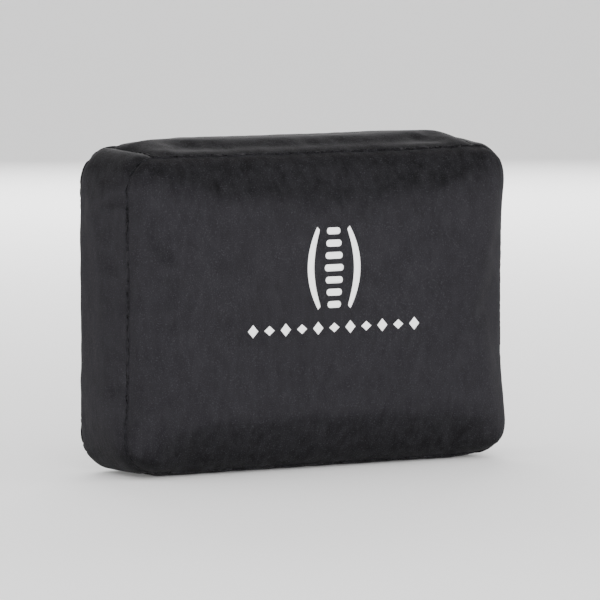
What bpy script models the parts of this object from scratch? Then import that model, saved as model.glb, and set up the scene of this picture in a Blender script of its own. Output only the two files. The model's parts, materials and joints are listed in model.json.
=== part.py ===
"""Lumbar support cushion that straps to the back of an office or gaming chair.

A foam core in a sewn liner sits in a zipped plush cover with a boxed edge. Behind it an
elastic strap runs from side seam to side seam through a side-release buckle, and a
slide adjuster sets its length.

Frame: metres, +Z up, +X to the sitter's left, the crowned front faces -Y. The origin is the
centre of the flat bottom face, half way through the depth of the boxed edge.
"""

import math

import bmesh
import bpy
from mathutils import Matrix, Vector

# Gap between pieces that touch.
GAP = 0.0003

# Cushion.
WIDTH = 0.320
HEIGHT = 0.230
CORNER_RADIUS = 0.029
GUSSET_DEPTH = 0.062
FRONT_CROWN = 0.018
FRONT_ROLL = 0.036
COVER_THICKNESS = 0.0015
LINER_THICKNESS = 0.0008
CORNER_SEGMENTS = 6
ROLL_STEPS = 6

# Printed film on the front.
FILM_THICKNESS = 0.0003
EMBLEM_WIDTH = 0.043
EMBLEM_HEIGHT = 0.058
EMBLEM_CENTRE_Z = 0.143
UNDERLINE_WIDTH = 0.140
UNDERLINE_HEIGHT = 0.014
UNDERLINE_CENTRE_Z = 0.101

# Zipper across the lower back: coil, tapes, stops and slider.
ZIPPER_Z = 0.058
TEETH_LENGTH = 0.236
TEETH_WIDTH = 0.0023
TEETH_HEIGHT = 0.0020
TAPE_THICKNESS = 0.0008
TAPE_WIDTH = 0.0143
TAPE_OVERRUN = 0.010
SLOT_HALF_HEIGHT = 0.0060
SLOT_OVERRUN = 0.007
STOP_LENGTH = 0.0022
STOP_HEIGHT = 0.0030
SLIDER_LENGTH = 0.011
SLIDER_WIDTH = 0.0096
SLIDER_PLATE = 0.0012
SLIDER_POST = 0.0008
SLIDER_CLEARANCE = 0.0004
SLIDER_FLANGE = 0.0015
ARCH_THICKNESS = 0.0016
ARCH_WALL = 0.0010
PULL_LENGTH = 0.024
PULL_WIDTH = 0.008
PULL_THICKNESS = 0.0012
PULL_NECK_WIDTH = 0.0056
PULL_RUNNING_GAP = 0.0005

# Elastic strap.
STRAP_Z = 0.115
STRAP_WIDTH = 0.025
STRAP_THICKNESS = 0.0012
STRAP_SEAM_INSET = 0.0015
STRAP_SEWN_LENGTH = 0.014
STRAP_RISE_LENGTH = 0.016
STRAP_LOOP_STITCHING = 0.018

# Side-release buckle.
BUCKLE_WIDTH = 0.033
BUCKLE_THICKNESS = 0.0096
BUCKLE_EDGE_RADIUS = 0.0014
SOCKET_BODY_LENGTH = 0.024
SOCKET_CAVITY_LENGTH = 0.022
SOCKET_SIDE_WALL = 0.0025
SOCKET_FACE_WALL = 0.0019
SOCKET_GATE_LENGTH = 0.004
SOCKET_MOUTH_X = 0.003
PLUG_BODY_LENGTH = 0.0157
BAR_FRAME_LENGTH = 0.010
BAR_LENGTH = 0.0035
BAR_THICKNESS = 0.0031
FRAME_OVERLAP = 0.002
FRAME_ARM_WIDTH = 0.0035
TONGUE_REACH = 0.017
TONGUE_WIDTH = 0.0048
TONGUE_THICKNESS = 0.0044
PRONG_ARM_THICKNESS = 0.0024
PRONG_HEIGHT = 0.0052
PRONG_WALL_CLEARANCE = 0.0020
PRONG_ROOT_DEPTH = 0.0057
PRONG_REACH = 0.0195
PRONG_CATCH = 0.0020
PRONG_BUTTON_PROUD = 0.0013
LATCH_CLEARANCE = 0.0006
PRONG_SWING_ROOM = 0.0016

# Slide adjuster on the left strap.
ADJUSTER_X = -0.112
ADJUSTER_LENGTH = 0.020
ADJUSTER_SIDE_WIDTH = 0.0030
ADJUSTER_BAR_LENGTH = 0.0030
ADJUSTER_CENTRE_BAR_THICKNESS = 0.0016
ADJUSTER_OUTER_BAR_THICKNESS = 0.0018
WEBBING_SIDE_CLEARANCE = 0.0005

# Blank care label in the top seam.
LABEL_X = 0.095
LABEL_WIDTH = 0.020
LABEL_LENGTH = 0.034
LABEL_THICKNESS = 0.0008

# Places that follow from the sizes above. The back panels lie on the rear edge of the
# boxed side, and everything behind them is stacked outward in +Y.
MID_Z = HEIGHT / 2
GUSSET_HALF = GUSSET_DEPTH / 2
PANEL_INNER_Y = GUSSET_HALF + GAP
PANEL_OUTER_Y = PANEL_INNER_Y + COVER_THICKNESS
FRONT_RIM_Y = -PANEL_OUTER_Y
FRONT_FACE_Y = FRONT_RIM_Y - FRONT_CROWN
LINER_INSET = COVER_THICKNESS + GAP
FOAM_INSET = LINER_INSET + LINER_THICKNESS + GAP

TAPE_OUTER_Y = PANEL_INNER_Y - GAP
TAPE_INNER_Y = TAPE_OUTER_Y - TAPE_THICKNESS
TEETH_INNER_Y = TAPE_OUTER_Y + GAP
TEETH_OUTER_Y = TEETH_INNER_Y + TEETH_HEIGHT
TEETH_INNER_Z = SLIDER_POST / 2 + GAP
TEETH_OUTER_Z = TEETH_INNER_Z + TEETH_WIDTH
TEETH_HALF = TEETH_LENGTH / 2
SLOT_HALF = TEETH_HALF + SLOT_OVERRUN
SLIDER_TOP_INNER_Y = TEETH_OUTER_Y + GAP
SLIDER_TOP_OUTER_Y = SLIDER_TOP_INNER_Y + SLIDER_PLATE
SLIDER_LOW_OUTER_Y = TAPE_INNER_Y - GAP
SLIDER_LOW_INNER_Y = SLIDER_LOW_OUTER_Y - SLIDER_PLATE
SLIDER_X = TEETH_HALF - SLIDER_LENGTH / 2
PULL_TURNING_RADIUS = PULL_THICKNESS / math.sqrt(2)
PULL_AXIS_Y = SLIDER_TOP_OUTER_Y + PULL_TURNING_RADIUS + GAP
ARCH_HALF_OPENING = PULL_TURNING_RADIUS + PULL_RUNNING_GAP
ARCH_HALF_LENGTH = ARCH_HALF_OPENING + ARCH_WALL
ARCH_TOP_INNER_Y = PULL_AXIS_Y + PULL_TURNING_RADIUS + GAP
ARCH_TOP_OUTER_Y = ARCH_TOP_INNER_Y + ARCH_WALL
PULL_WINDOW_END = math.hypot(ARCH_HALF_LENGTH, ARCH_TOP_OUTER_Y - PULL_AXIS_Y) + PULL_RUNNING_GAP

LINER_BACK_OUTER_Y = SLIDER_LOW_INNER_Y - SLIDER_CLEARANCE
LINER_BACK_INNER_Y = LINER_BACK_OUTER_Y - LINER_THICKNESS
FOAM_BACK_Y = LINER_BACK_INNER_Y - GAP

BEHIND_PANEL_Y = PANEL_OUTER_Y + GAP
BUCKLE_MID_Y = BEHIND_PANEL_Y + BUCKLE_THICKNESS / 2
LOW_STRAP_Y = BEHIND_PANEL_Y + STRAP_THICKNESS / 2
BAR_LOW_Y = BEHIND_PANEL_Y + STRAP_THICKNESS + GAP
BAR_HIGH_Y = BAR_LOW_Y + BAR_THICKNESS
CENTRE_BAR_HIGH_Y = BAR_LOW_Y + ADJUSTER_CENTRE_BAR_THICKNESS
LOOP_TOP_Y = CENTRE_BAR_HIGH_Y + GAP + STRAP_THICKNESS / 2
HIGH_STRAP_Y = max(BAR_HIGH_Y, LOOP_TOP_Y + STRAP_THICKNESS / 2) + GAP + STRAP_THICKNESS / 2
OUTER_BAR_LOW_Y = HIGH_STRAP_Y + STRAP_THICKNESS / 2 + GAP
OUTER_BAR_HIGH_Y = OUTER_BAR_LOW_Y + ADJUSTER_OUTER_BAR_THICKNESS
DOUBLED_STRAP_Y = LOW_STRAP_Y + STRAP_THICKNESS + GAP
STRAP_LOW_Z = STRAP_Z - STRAP_WIDTH / 2
STRAP_HIGH_Z = STRAP_Z + STRAP_WIDTH / 2
WEBBING_SLOT_HALF = STRAP_WIDTH / 2 + WEBBING_SIDE_CLEARANCE
SOCKET_BAR_X = SOCKET_MOUTH_X - SOCKET_BODY_LENGTH - BAR_FRAME_LENGTH + BAR_LENGTH / 2
PLUG_FACE_X = SOCKET_MOUTH_X + GAP
PLUG_BAR_X = PLUG_FACE_X + PLUG_BODY_LENGTH + BAR_FRAME_LENGTH - BAR_LENGTH / 2
PRONG_ROOT_X = PLUG_FACE_X + PRONG_ROOT_DEPTH
CATCH_X = SOCKET_MOUTH_X - SOCKET_GATE_LENGTH - LATCH_CLEARANCE
CAVITY_HALF_WIDTH = BUCKLE_WIDTH / 2 - SOCKET_SIDE_WALL
CAVITY_HALF_THICKNESS = BUCKLE_THICKNESS / 2 - SOCKET_FACE_WALL
PRONG_ARM_OFFSET = CAVITY_HALF_WIDTH - PRONG_WALL_CLEARANCE - PRONG_ARM_THICKNESS / 2

COLOURS = {
    "plush": ((0.030, 0.030, 0.034), 0.92, 0.0),
    "liner": ((0.55, 0.55, 0.53), 0.85, 0.0),
    "foam": ((0.72, 0.66, 0.42), 0.95, 0.0),
    "film": ((0.82, 0.82, 0.82), 0.45, 0.0),
    "tape": ((0.012, 0.012, 0.013), 0.80, 0.0),
    "coil": ((0.015, 0.015, 0.016), 0.40, 0.0),
    "zinc": ((0.030, 0.030, 0.032), 0.35, 0.8),
    "elastic": ((0.014, 0.014, 0.015), 0.75, 0.0),
    "acetal": ((0.010, 0.010, 0.011), 0.40, 0.0),
    "satin": ((0.70, 0.70, 0.68), 0.50, 0.0),
}


def clear_scene():
    for obj in list(bpy.data.objects):
        bpy.data.objects.remove(obj, do_unlink=True)


def material_for(name, finish):
    colour, roughness, metallic = COLOURS[finish]
    material = bpy.data.materials.new(name)
    material.use_nodes = True
    shader = material.node_tree.nodes["Principled BSDF"]
    shader.inputs["Base Color"].default_value = (*colour, 1.0)
    shader.inputs["Roughness"].default_value = roughness
    shader.inputs["Metallic"].default_value = metallic
    return material


def add_mesh(name, bm, origin=(0, 0, 0), parent=None):
    """Turn a bmesh in world coordinates into an object whose origin is at a world point."""
    bmesh.ops.recalc_face_normals(bm, faces=bm.faces)
    bmesh.ops.translate(bm, verts=bm.verts, vec=-Vector(origin))
    mesh = bpy.data.meshes.new(name)
    bm.to_mesh(mesh)
    bm.free()
    mesh.shade_smooth()
    mesh.set_sharp_from_angle(angle=math.radians(35))
    obj = bpy.data.objects.new(name, mesh)
    bpy.context.scene.collection.objects.link(obj)
    if parent:
        obj.parent = parent
        bpy.context.view_layer.update()
        obj.location = parent.matrix_world.inverted() @ Vector(origin)
    else:
        obj.location = origin
    return obj


def add_part(name, bm, finish, origin=(0, 0, 0), parent=None):
    obj = add_mesh(name, bm, origin, parent)
    obj.data.materials.append(material_for(name, finish))
    return obj


def combine(obj, operation, name, bm):
    """Add or cut another shape with a Boolean that stays on the object."""
    other = add_mesh(name, bm)
    other.hide_render = True
    other.display_type = "WIRE"
    modifier = obj.modifiers.new(name, "BOOLEAN")
    modifier.operation = operation
    modifier.object = other


def round_edges(obj, width):
    modifier = obj.modifiers.new("rounded_edges", "BEVEL")
    modifier.width = width
    modifier.segments = 2
    modifier.limit_method = "ANGLE"
    modifier.angle_limit = math.radians(35)


def prism(outline, axis, low, high):
    """Extrude an outline along an axis. Its points give the other two axes in X, Y, Z order."""
    index = "XYZ".index(axis)
    bm = bmesh.new()
    bottom = []
    for a, b in outline:
        point = [a, b]
        point.insert(index, low)
        bottom.append(bm.verts.new(point))
    face = bm.faces.new(bottom)
    grown = bmesh.ops.extrude_face_region(bm, geom=[face])
    moved = [item for item in grown["geom"] if isinstance(item, bmesh.types.BMVert)]
    shift = [0.0, 0.0, 0.0]
    shift[index] = high - low
    bmesh.ops.translate(bm, verts=moved, vec=shift)
    return bm


def block(low, high):
    (x0, y0, z0), (x1, y1, z1) = low, high
    return prism([(x0, z0), (x1, z0), (x1, z1), (x0, z1)], "Y", y0, y1)


def arc(centre, radius, start, end, segments):
    """Points on an arc, angles in degrees, both ends included."""
    points = []
    for step in range(segments + 1):
        angle = math.radians(start + (end - start) * step / segments)
        points.append((centre[0] + radius * math.cos(angle), centre[1] + radius * math.sin(angle)))
    return points


def rounded_rectangle(centre, half_width, half_height, radius, segments=CORNER_SEGMENTS):
    x, z = centre
    across = half_width - radius
    up = half_height - radius
    points = []
    for turn, (side, rise) in enumerate([(1, 1), (-1, 1), (-1, -1), (1, -1)]):
        corner = (x + side * across, z + rise * up)
        points += arc(corner, radius, 90 * turn, 90 * turn + 90, segments)
    return points


def cushion_outline(inset, further=0.0):
    """The cushion's front view moved in by an inset, and moved in further with the same corners."""
    moved = inset + further
    return rounded_rectangle((0, MID_Z), WIDTH / 2 - moved, MID_Z - moved, CORNER_RADIUS - inset)


def loft(rings):
    """Skin a run of rings of (x, z) points, each at its own y, and close both ends."""
    bm = bmesh.new()
    loops = [[bm.verts.new((x, y, z)) for x, z in ring] for y, ring in rings]
    for one, two in zip(loops, loops[1:]):
        for i in range(len(one)):
            j = (i + 1) % len(one)
            bm.faces.new((one[i], one[j], two[j], two[i]))
    bm.faces.new(loops[0])
    bm.faces.new(loops[-1])
    return bm


def crowned_rings(inset):
    """Rings over the crowned front, from its rim to its flat middle, inset into the cushion."""
    rings = []
    for step in range(ROLL_STEPS + 1):
        angle = math.pi / 2 * step / ROLL_STEPS
        further = FRONT_ROLL * (1 - math.cos(angle))
        y = FRONT_RIM_Y + inset - FRONT_CROWN * math.sin(angle)
        rings.append((y, cushion_outline(inset, further)))
    return rings


def crowned_shell(inset, thickness, rim_y):
    """A sheet over the crowned front whose rim comes back to a flat plane at rim_y."""
    outside = [(rim_y, cushion_outline(inset))] + crowned_rings(inset)
    inside = crowned_rings(inset + thickness)
    if rim_y - inside[0][0] > GAP:
        inside.insert(0, (rim_y, cushion_outline(inset + thickness)))
    bm = bmesh.new()
    rings = outside + inside[::-1]
    loops = [[bm.verts.new((x, y, z)) for x, z in ring] for y, ring in rings]
    middle = len(outside) - 1
    for k, one in enumerate(loops):
        two = loops[(k + 1) % len(loops)]
        if k == middle:
            bm.faces.new(one)
            bm.faces.new(two)
            continue
        for i in range(len(one)):
            j = (i + 1) % len(one)
            bm.faces.new((one[i], one[j], two[j], two[i]))
    return bm


def ribbon(path, thickness, low_z, high_z):
    """A flat band that follows a route of (x, y) points, its corners mitred."""
    points = [Vector(point) for point in path]
    left, right = [], []
    for i, point in enumerate(points):
        before = (point - points[i - 1]).normalized() if i else None
        after = (points[i + 1] - point).normalized() if i + 1 < len(points) else None
        along = ((before or after) + (after or before)).normalized()
        normal = Vector((-along.y, along.x))
        spread = thickness / 2 / max(0.5, along.dot(after or before))
        left.append(tuple(point + normal * spread))
        right.append(tuple(point - normal * spread))
    return prism(left + right[::-1], "Z", low_z, high_z)


def add_foam_and_liner(root):
    foam = [(FOAM_BACK_Y, cushion_outline(FOAM_INSET))] + crowned_rings(FOAM_INSET)
    add_part("foam_core", loft(foam), "foam", parent=root)
    add_part("liner_front", crowned_shell(LINER_INSET, LINER_THICKNESS, FOAM_BACK_Y), "liner", parent=root)
    outline = cushion_outline(LINER_INSET)
    add_part("liner_back", prism(outline, "Y", LINER_BACK_INNER_Y, LINER_BACK_OUTER_Y), "liner", parent=root)


def add_gussets(root):
    """The boxed edge: a straight strip above and below, and a side strip round both corners."""
    straight = WIDTH / 2 - CORNER_RADIUS
    for name, low, high in (
        ("gusset_bottom", 0.0, COVER_THICKNESS),
        ("gusset_top", HEIGHT - COVER_THICKNESS, HEIGHT),
    ):
        strip = block((-straight, -GUSSET_HALF, low), (straight, GUSSET_HALF, high))
        add_part(name, strip, "plush", parent=root)
    inner_radius = CORNER_RADIUS - COVER_THICKNESS
    seam = straight + GAP
    for name, side in (("gusset_left", -1), ("gusset_right", 1)):
        centre = (side * straight, CORNER_RADIUS)
        top_centre = (side * straight, HEIGHT - CORNER_RADIUS)
        low_turn = (-90, -180) if side < 0 else (-90, 0)
        top_turn = (180, 90) if side < 0 else (0, 90)
        outer = arc(centre, CORNER_RADIUS, *low_turn, CORNER_SEGMENTS)
        outer += arc(top_centre, CORNER_RADIUS, *top_turn, CORNER_SEGMENTS)
        inner = arc(centre, inner_radius, *low_turn, CORNER_SEGMENTS)
        inner += arc(top_centre, inner_radius, *top_turn, CORNER_SEGMENTS)
        for points in (outer, inner):
            points[0] = (side * seam, points[0][1])
            points[-1] = (side * seam, points[-1][1])
        strip = prism(outer + inner[::-1], "Y", -GUSSET_HALF, GUSSET_HALF)
        add_part(name, strip, "plush", parent=root)


def add_back_panels(root):
    """Two panels that meet at the height of the zipper, with a slot between them for it."""
    half = WIDTH / 2
    for name, rise in (("back_panel_upper", 1), ("back_panel_lower", -1)):
        edge = [point for point in cushion_outline(0.0) if rise * (point[1] - ZIPPER_Z) > 0]
        seam_z = ZIPPER_Z + rise * GAP / 2
        slot_z = ZIPPER_Z + rise * SLOT_HALF_HEIGHT
        notch = [(half, seam_z), (SLOT_HALF, seam_z), (SLOT_HALF, slot_z)]
        notch += [(-SLOT_HALF, slot_z), (-SLOT_HALF, seam_z), (-half, seam_z)]
        outline = edge + (notch[::-1] if rise > 0 else notch)
        add_part(name, prism(outline, "Y", PANEL_INNER_Y, PANEL_OUTER_Y), "plush", parent=root)


def add_film(root):
    """Printed shapes on the flat middle of the front."""
    for name, width, height, z in (
        ("emblem_mark", EMBLEM_WIDTH, EMBLEM_HEIGHT, EMBLEM_CENTRE_Z),
        ("emblem_underline", UNDERLINE_WIDTH, UNDERLINE_HEIGHT, UNDERLINE_CENTRE_Z),
    ):
        radius = 0.45 * min(width, height)
        outline = rounded_rectangle((0, z), width / 2, height / 2, radius)
        face_y = FRONT_FACE_Y - GAP
        add_part(name, prism(outline, "Y", face_y - FILM_THICKNESS, face_y), "film", parent=root)


def add_zipper(root):
    """Tapes under the slot's edges, a coil along each, and the stops at both ends."""
    tape_half = TEETH_HALF + TAPE_OVERRUN
    for name, rise in (("upper", 1), ("lower", -1)):
        near = ZIPPER_Z + rise * TEETH_INNER_Z
        tape = sorted((near, near + rise * TAPE_WIDTH))
        teeth = sorted((near, ZIPPER_Z + rise * TEETH_OUTER_Z))
        strip = block((-tape_half, TAPE_INNER_Y, tape[0]), (tape_half, TAPE_OUTER_Y, tape[1]))
        add_part(f"zipper_tape_{name}", strip, "tape", parent=root)
        coil = block((-TEETH_HALF, TEETH_INNER_Y, teeth[0]), (TEETH_HALF, TEETH_OUTER_Y, teeth[1]))
        add_part(f"zipper_teeth_{name}", coil, "coil", parent=root)
        stop_x = TEETH_HALF + GAP
        stop_y = TEETH_INNER_Y + STOP_HEIGHT
        stop = block((stop_x, TEETH_INNER_Y, teeth[0]), (stop_x + STOP_LENGTH, stop_y, teeth[1]))
        add_part(f"zipper_top_stop_{name}", stop, "zinc", parent=root)
    low = (-stop_x - STOP_LENGTH, TEETH_INNER_Y, ZIPPER_Z - TEETH_OUTER_Z)
    high = (-stop_x, stop_y, ZIPPER_Z + TEETH_OUTER_Z)
    add_part("zipper_bottom_stop", block(low, high), "zinc", parent=root)


def add_zipper_slider(root):
    """Slider: two plates joined by a post between the coils, an arch on top, and its pull."""
    half = SLIDER_WIDTH / 2
    channel = half - SLIDER_FLANGE
    post = SLIDER_POST / 2
    side = [
        (SLIDER_TOP_OUTER_Y, half),
        (TEETH_INNER_Y, half),
        (TEETH_INNER_Y, channel),
        (SLIDER_TOP_INNER_Y, channel),
        (SLIDER_TOP_INNER_Y, post),
        (SLIDER_LOW_OUTER_Y, post),
        (SLIDER_LOW_OUTER_Y, half),
        (SLIDER_LOW_INNER_Y, half),
    ]
    section = [(y, ZIPPER_Z + z) for y, z in side] + [(y, ZIPPER_Z - z) for y, z in side[::-1]]
    ends = (SLIDER_X - SLIDER_LENGTH / 2, SLIDER_X + SLIDER_LENGTH / 2)
    pivot = (SLIDER_X, PULL_AXIS_Y, ZIPPER_Z)
    slider = add_part("zipper_slider", prism(section, "X", *ends), "zinc", pivot, root)
    sink = SLIDER_TOP_OUTER_Y - SLIDER_PLATE / 2
    arch = [
        (SLIDER_X - ARCH_HALF_LENGTH, sink),
        (SLIDER_X - ARCH_HALF_LENGTH, ARCH_TOP_OUTER_Y),
        (SLIDER_X + ARCH_HALF_LENGTH, ARCH_TOP_OUTER_Y),
        (SLIDER_X + ARCH_HALF_LENGTH, sink),
        (SLIDER_X + ARCH_HALF_OPENING, sink),
        (SLIDER_X + ARCH_HALF_OPENING, ARCH_TOP_INNER_Y),
        (SLIDER_X - ARCH_HALF_OPENING, ARCH_TOP_INNER_Y),
        (SLIDER_X - ARCH_HALF_OPENING, sink),
    ]
    arch_low = ZIPPER_Z - ARCH_THICKNESS / 2
    combine(slider, "UNION", "slider_arch", prism(arch, "Z", arch_low, arch_low + ARCH_THICKNESS))

    bar = PULL_THICKNESS / 2
    end_x = SLIDER_X - PULL_LENGTH
    neck_x = SLIDER_X - PULL_WINDOW_END - PULL_NECK_WIDTH / 2
    low = PULL_AXIS_Y - bar
    outline = [(SLIDER_X + bar, ZIPPER_Z + PULL_NECK_WIDTH / 2)]
    outline.append((neck_x, ZIPPER_Z + PULL_NECK_WIDTH / 2))
    outline += arc((end_x + PULL_WIDTH / 2, ZIPPER_Z), PULL_WIDTH / 2, 90, 270, 2 * CORNER_SEGMENTS)
    outline.append((neck_x, ZIPPER_Z - PULL_NECK_WIDTH / 2))
    outline.append((SLIDER_X + bar, ZIPPER_Z - PULL_NECK_WIDTH / 2))
    plate = prism(outline, "Y", low, low + PULL_THICKNESS)
    pull = add_part("zipper_pull", plate, "zinc", pivot, slider)
    window_half = ARCH_THICKNESS / 2 + PULL_RUNNING_GAP
    window = block(
        (SLIDER_X - PULL_WINDOW_END, low - PULL_THICKNESS, ZIPPER_Z - window_half),
        (SLIDER_X - bar, low + 2 * PULL_THICKNESS, ZIPPER_Z + window_half),
    )
    combine(pull, "DIFFERENCE", "pull_window", window)


def strap_band(name, path, parent, origin=(0, 0, 0)):
    bm = ribbon(path, STRAP_THICKNESS, STRAP_LOW_Z, STRAP_HIGH_Z)
    return add_part(name, bm, "elastic", origin, parent)


def loop_turn(bar_x, bar_length, bar_high_y, side):
    """The strap's route round one long edge of a bar, from below the bar to above it."""
    radius = GAP + STRAP_THICKNESS / 2
    edge_x = bar_x + side * bar_length / 2
    points = []
    for corner_y, start, end in ((BAR_LOW_Y, -90, 0), (bar_high_y, 0, 90)):
        for x, y in arc((0.0, corner_y), radius, start, end, CORNER_SEGMENTS // 2):
            points.append((edge_x + side * x, y))
    return points


def add_left_strap(root):
    """Sewn in the left seam, through the adjuster, round the socket's bar and part way back."""
    seam_x = -WIDTH / 2 + STRAP_SEAM_INSET
    sewn_x = seam_x + STRAP_SEWN_LENGTH
    turn = loop_turn(SOCKET_BAR_X, BAR_LENGTH, BAR_HIGH_Y, 1)
    path = [(seam_x, LOW_STRAP_Y), (sewn_x, LOW_STRAP_Y), (sewn_x + STRAP_RISE_LENGTH, HIGH_STRAP_Y)]
    strap_band("strap_left", path + turn[::-1], root)
    return_start = turn[0][0] - GAP
    return_end = ADJUSTER_X + STRAP_LOOP_STITCHING + GAP
    strap_band("strap_left_return", [(return_end, LOW_STRAP_Y), (return_start, LOW_STRAP_Y)], root)


def add_adjuster(root):
    """Slide adjuster: the strap passes over its centre bar and under its outer bars."""
    half = ADJUSTER_LENGTH / 2
    low_z = STRAP_Z - WEBBING_SLOT_HALF - ADJUSTER_SIDE_WIDTH
    high_z = STRAP_Z + WEBBING_SLOT_HALF + ADJUSTER_SIDE_WIDTH
    frame = block((ADJUSTER_X - half, BAR_LOW_Y, low_z), (ADJUSTER_X + half, OUTER_BAR_HIGH_Y, high_z))
    origin = (ADJUSTER_X, HIGH_STRAP_Y, STRAP_Z)
    adjuster = add_part("strap_adjuster", frame, "acetal", origin, root)
    centre = ADJUSTER_BAR_LENGTH / 2
    inner = half - ADJUSTER_BAR_LENGTH
    margin = BUCKLE_THICKNESS
    window = [
        (ADJUSTER_X - half - margin, BAR_LOW_Y - margin),
        (ADJUSTER_X - half - margin, OUTER_BAR_LOW_Y),
        (ADJUSTER_X - inner, OUTER_BAR_LOW_Y),
        (ADJUSTER_X - inner, OUTER_BAR_HIGH_Y + margin),
        (ADJUSTER_X + inner, OUTER_BAR_HIGH_Y + margin),
        (ADJUSTER_X + inner, OUTER_BAR_LOW_Y),
        (ADJUSTER_X + half + margin, OUTER_BAR_LOW_Y),
        (ADJUSTER_X + half + margin, BAR_LOW_Y - margin),
        (ADJUSTER_X + centre, BAR_LOW_Y - margin),
        (ADJUSTER_X + centre, CENTRE_BAR_HIGH_Y),
        (ADJUSTER_X - centre, CENTRE_BAR_HIGH_Y),
        (ADJUSTER_X - centre, BAR_LOW_Y - margin),
    ]
    cutter = prism(window, "Z", STRAP_Z - WEBBING_SLOT_HALF, STRAP_Z + WEBBING_SLOT_HALF)
    combine(adjuster, "DIFFERENCE", "adjuster_windows", cutter)

    turn = loop_turn(ADJUSTER_X, ADJUSTER_BAR_LENGTH, CENTRE_BAR_HIGH_Y, -1)
    end_x = ADJUSTER_X + STRAP_LOOP_STITCHING
    path = [(end_x, LOW_STRAP_Y)] + turn
    past_bar = ADJUSTER_X + centre + STRAP_THICKNESS
    path += [(past_bar, LOOP_TOP_Y), (ADJUSTER_X + half, DOUBLED_STRAP_Y), (end_x, DOUBLED_STRAP_Y)]
    strap_band("strap_return_loop", path, adjuster, origin)


def buckle_frame(body_x, bar_x):
    """The flat end of a buckle half: two arms that carry a bar for the strap."""
    side = 1 if bar_x > body_x else -1
    end_x = bar_x + side * BAR_LENGTH / 2
    inner_x = body_x - side * FRAME_OVERLAP
    half = WEBBING_SLOT_HALF + FRAME_ARM_WIDTH
    ends = sorted((inner_x, end_x))
    return block((ends[0], BAR_LOW_Y, STRAP_Z - half), (ends[1], BAR_HIGH_Y, STRAP_Z + half))


def webbing_slot(body_x, bar_x):
    side = 1 if bar_x > body_x else -1
    ends = sorted((body_x, bar_x - side * BAR_LENGTH / 2))
    low = (ends[0], BEHIND_PANEL_Y - BAR_THICKNESS, STRAP_Z - WEBBING_SLOT_HALF)
    high = (ends[1], BAR_HIGH_Y + BAR_THICKNESS, STRAP_Z + WEBBING_SLOT_HALF)
    return block(low, high)


def buckle_block(low_x, high_x, half_width):
    half = BUCKLE_THICKNESS / 2
    low = (low_x, BUCKLE_MID_Y - half, STRAP_Z - half_width)
    high = (high_x, BUCKLE_MID_Y + half, STRAP_Z + half_width)
    return block(low, high)


def add_buckle_socket(root):
    body_x = SOCKET_MOUTH_X - SOCKET_BODY_LENGTH
    half = BUCKLE_WIDTH / 2
    socket = add_part("buckle_socket", buckle_block(body_x, SOCKET_MOUTH_X, half), "acetal", parent=root)
    round_edges(socket, BUCKLE_EDGE_RADIUS)
    combine(socket, "UNION", "socket_frame", buckle_frame(body_x, SOCKET_BAR_X))
    combine(socket, "DIFFERENCE", "socket_webbing_slot", webbing_slot(body_x, SOCKET_BAR_X))
    low_y = BUCKLE_MID_Y - CAVITY_HALF_THICKNESS
    high_y = BUCKLE_MID_Y + CAVITY_HALF_THICKNESS
    deep_x = SOCKET_MOUTH_X - SOCKET_CAVITY_LENGTH
    beyond_x = SOCKET_MOUTH_X + BUCKLE_THICKNESS
    cavity = block(
        (deep_x, low_y, STRAP_Z - CAVITY_HALF_WIDTH), (beyond_x, high_y, STRAP_Z + CAVITY_HALF_WIDTH)
    )
    combine(socket, "DIFFERENCE", "socket_cavity", cavity)
    window_x = SOCKET_MOUTH_X - SOCKET_GATE_LENGTH
    windows = block(
        (deep_x, low_y, STRAP_Z - BUCKLE_WIDTH), (window_x, high_y, STRAP_Z + BUCKLE_WIDTH)
    )
    combine(socket, "DIFFERENCE", "socket_windows", windows)


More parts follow.
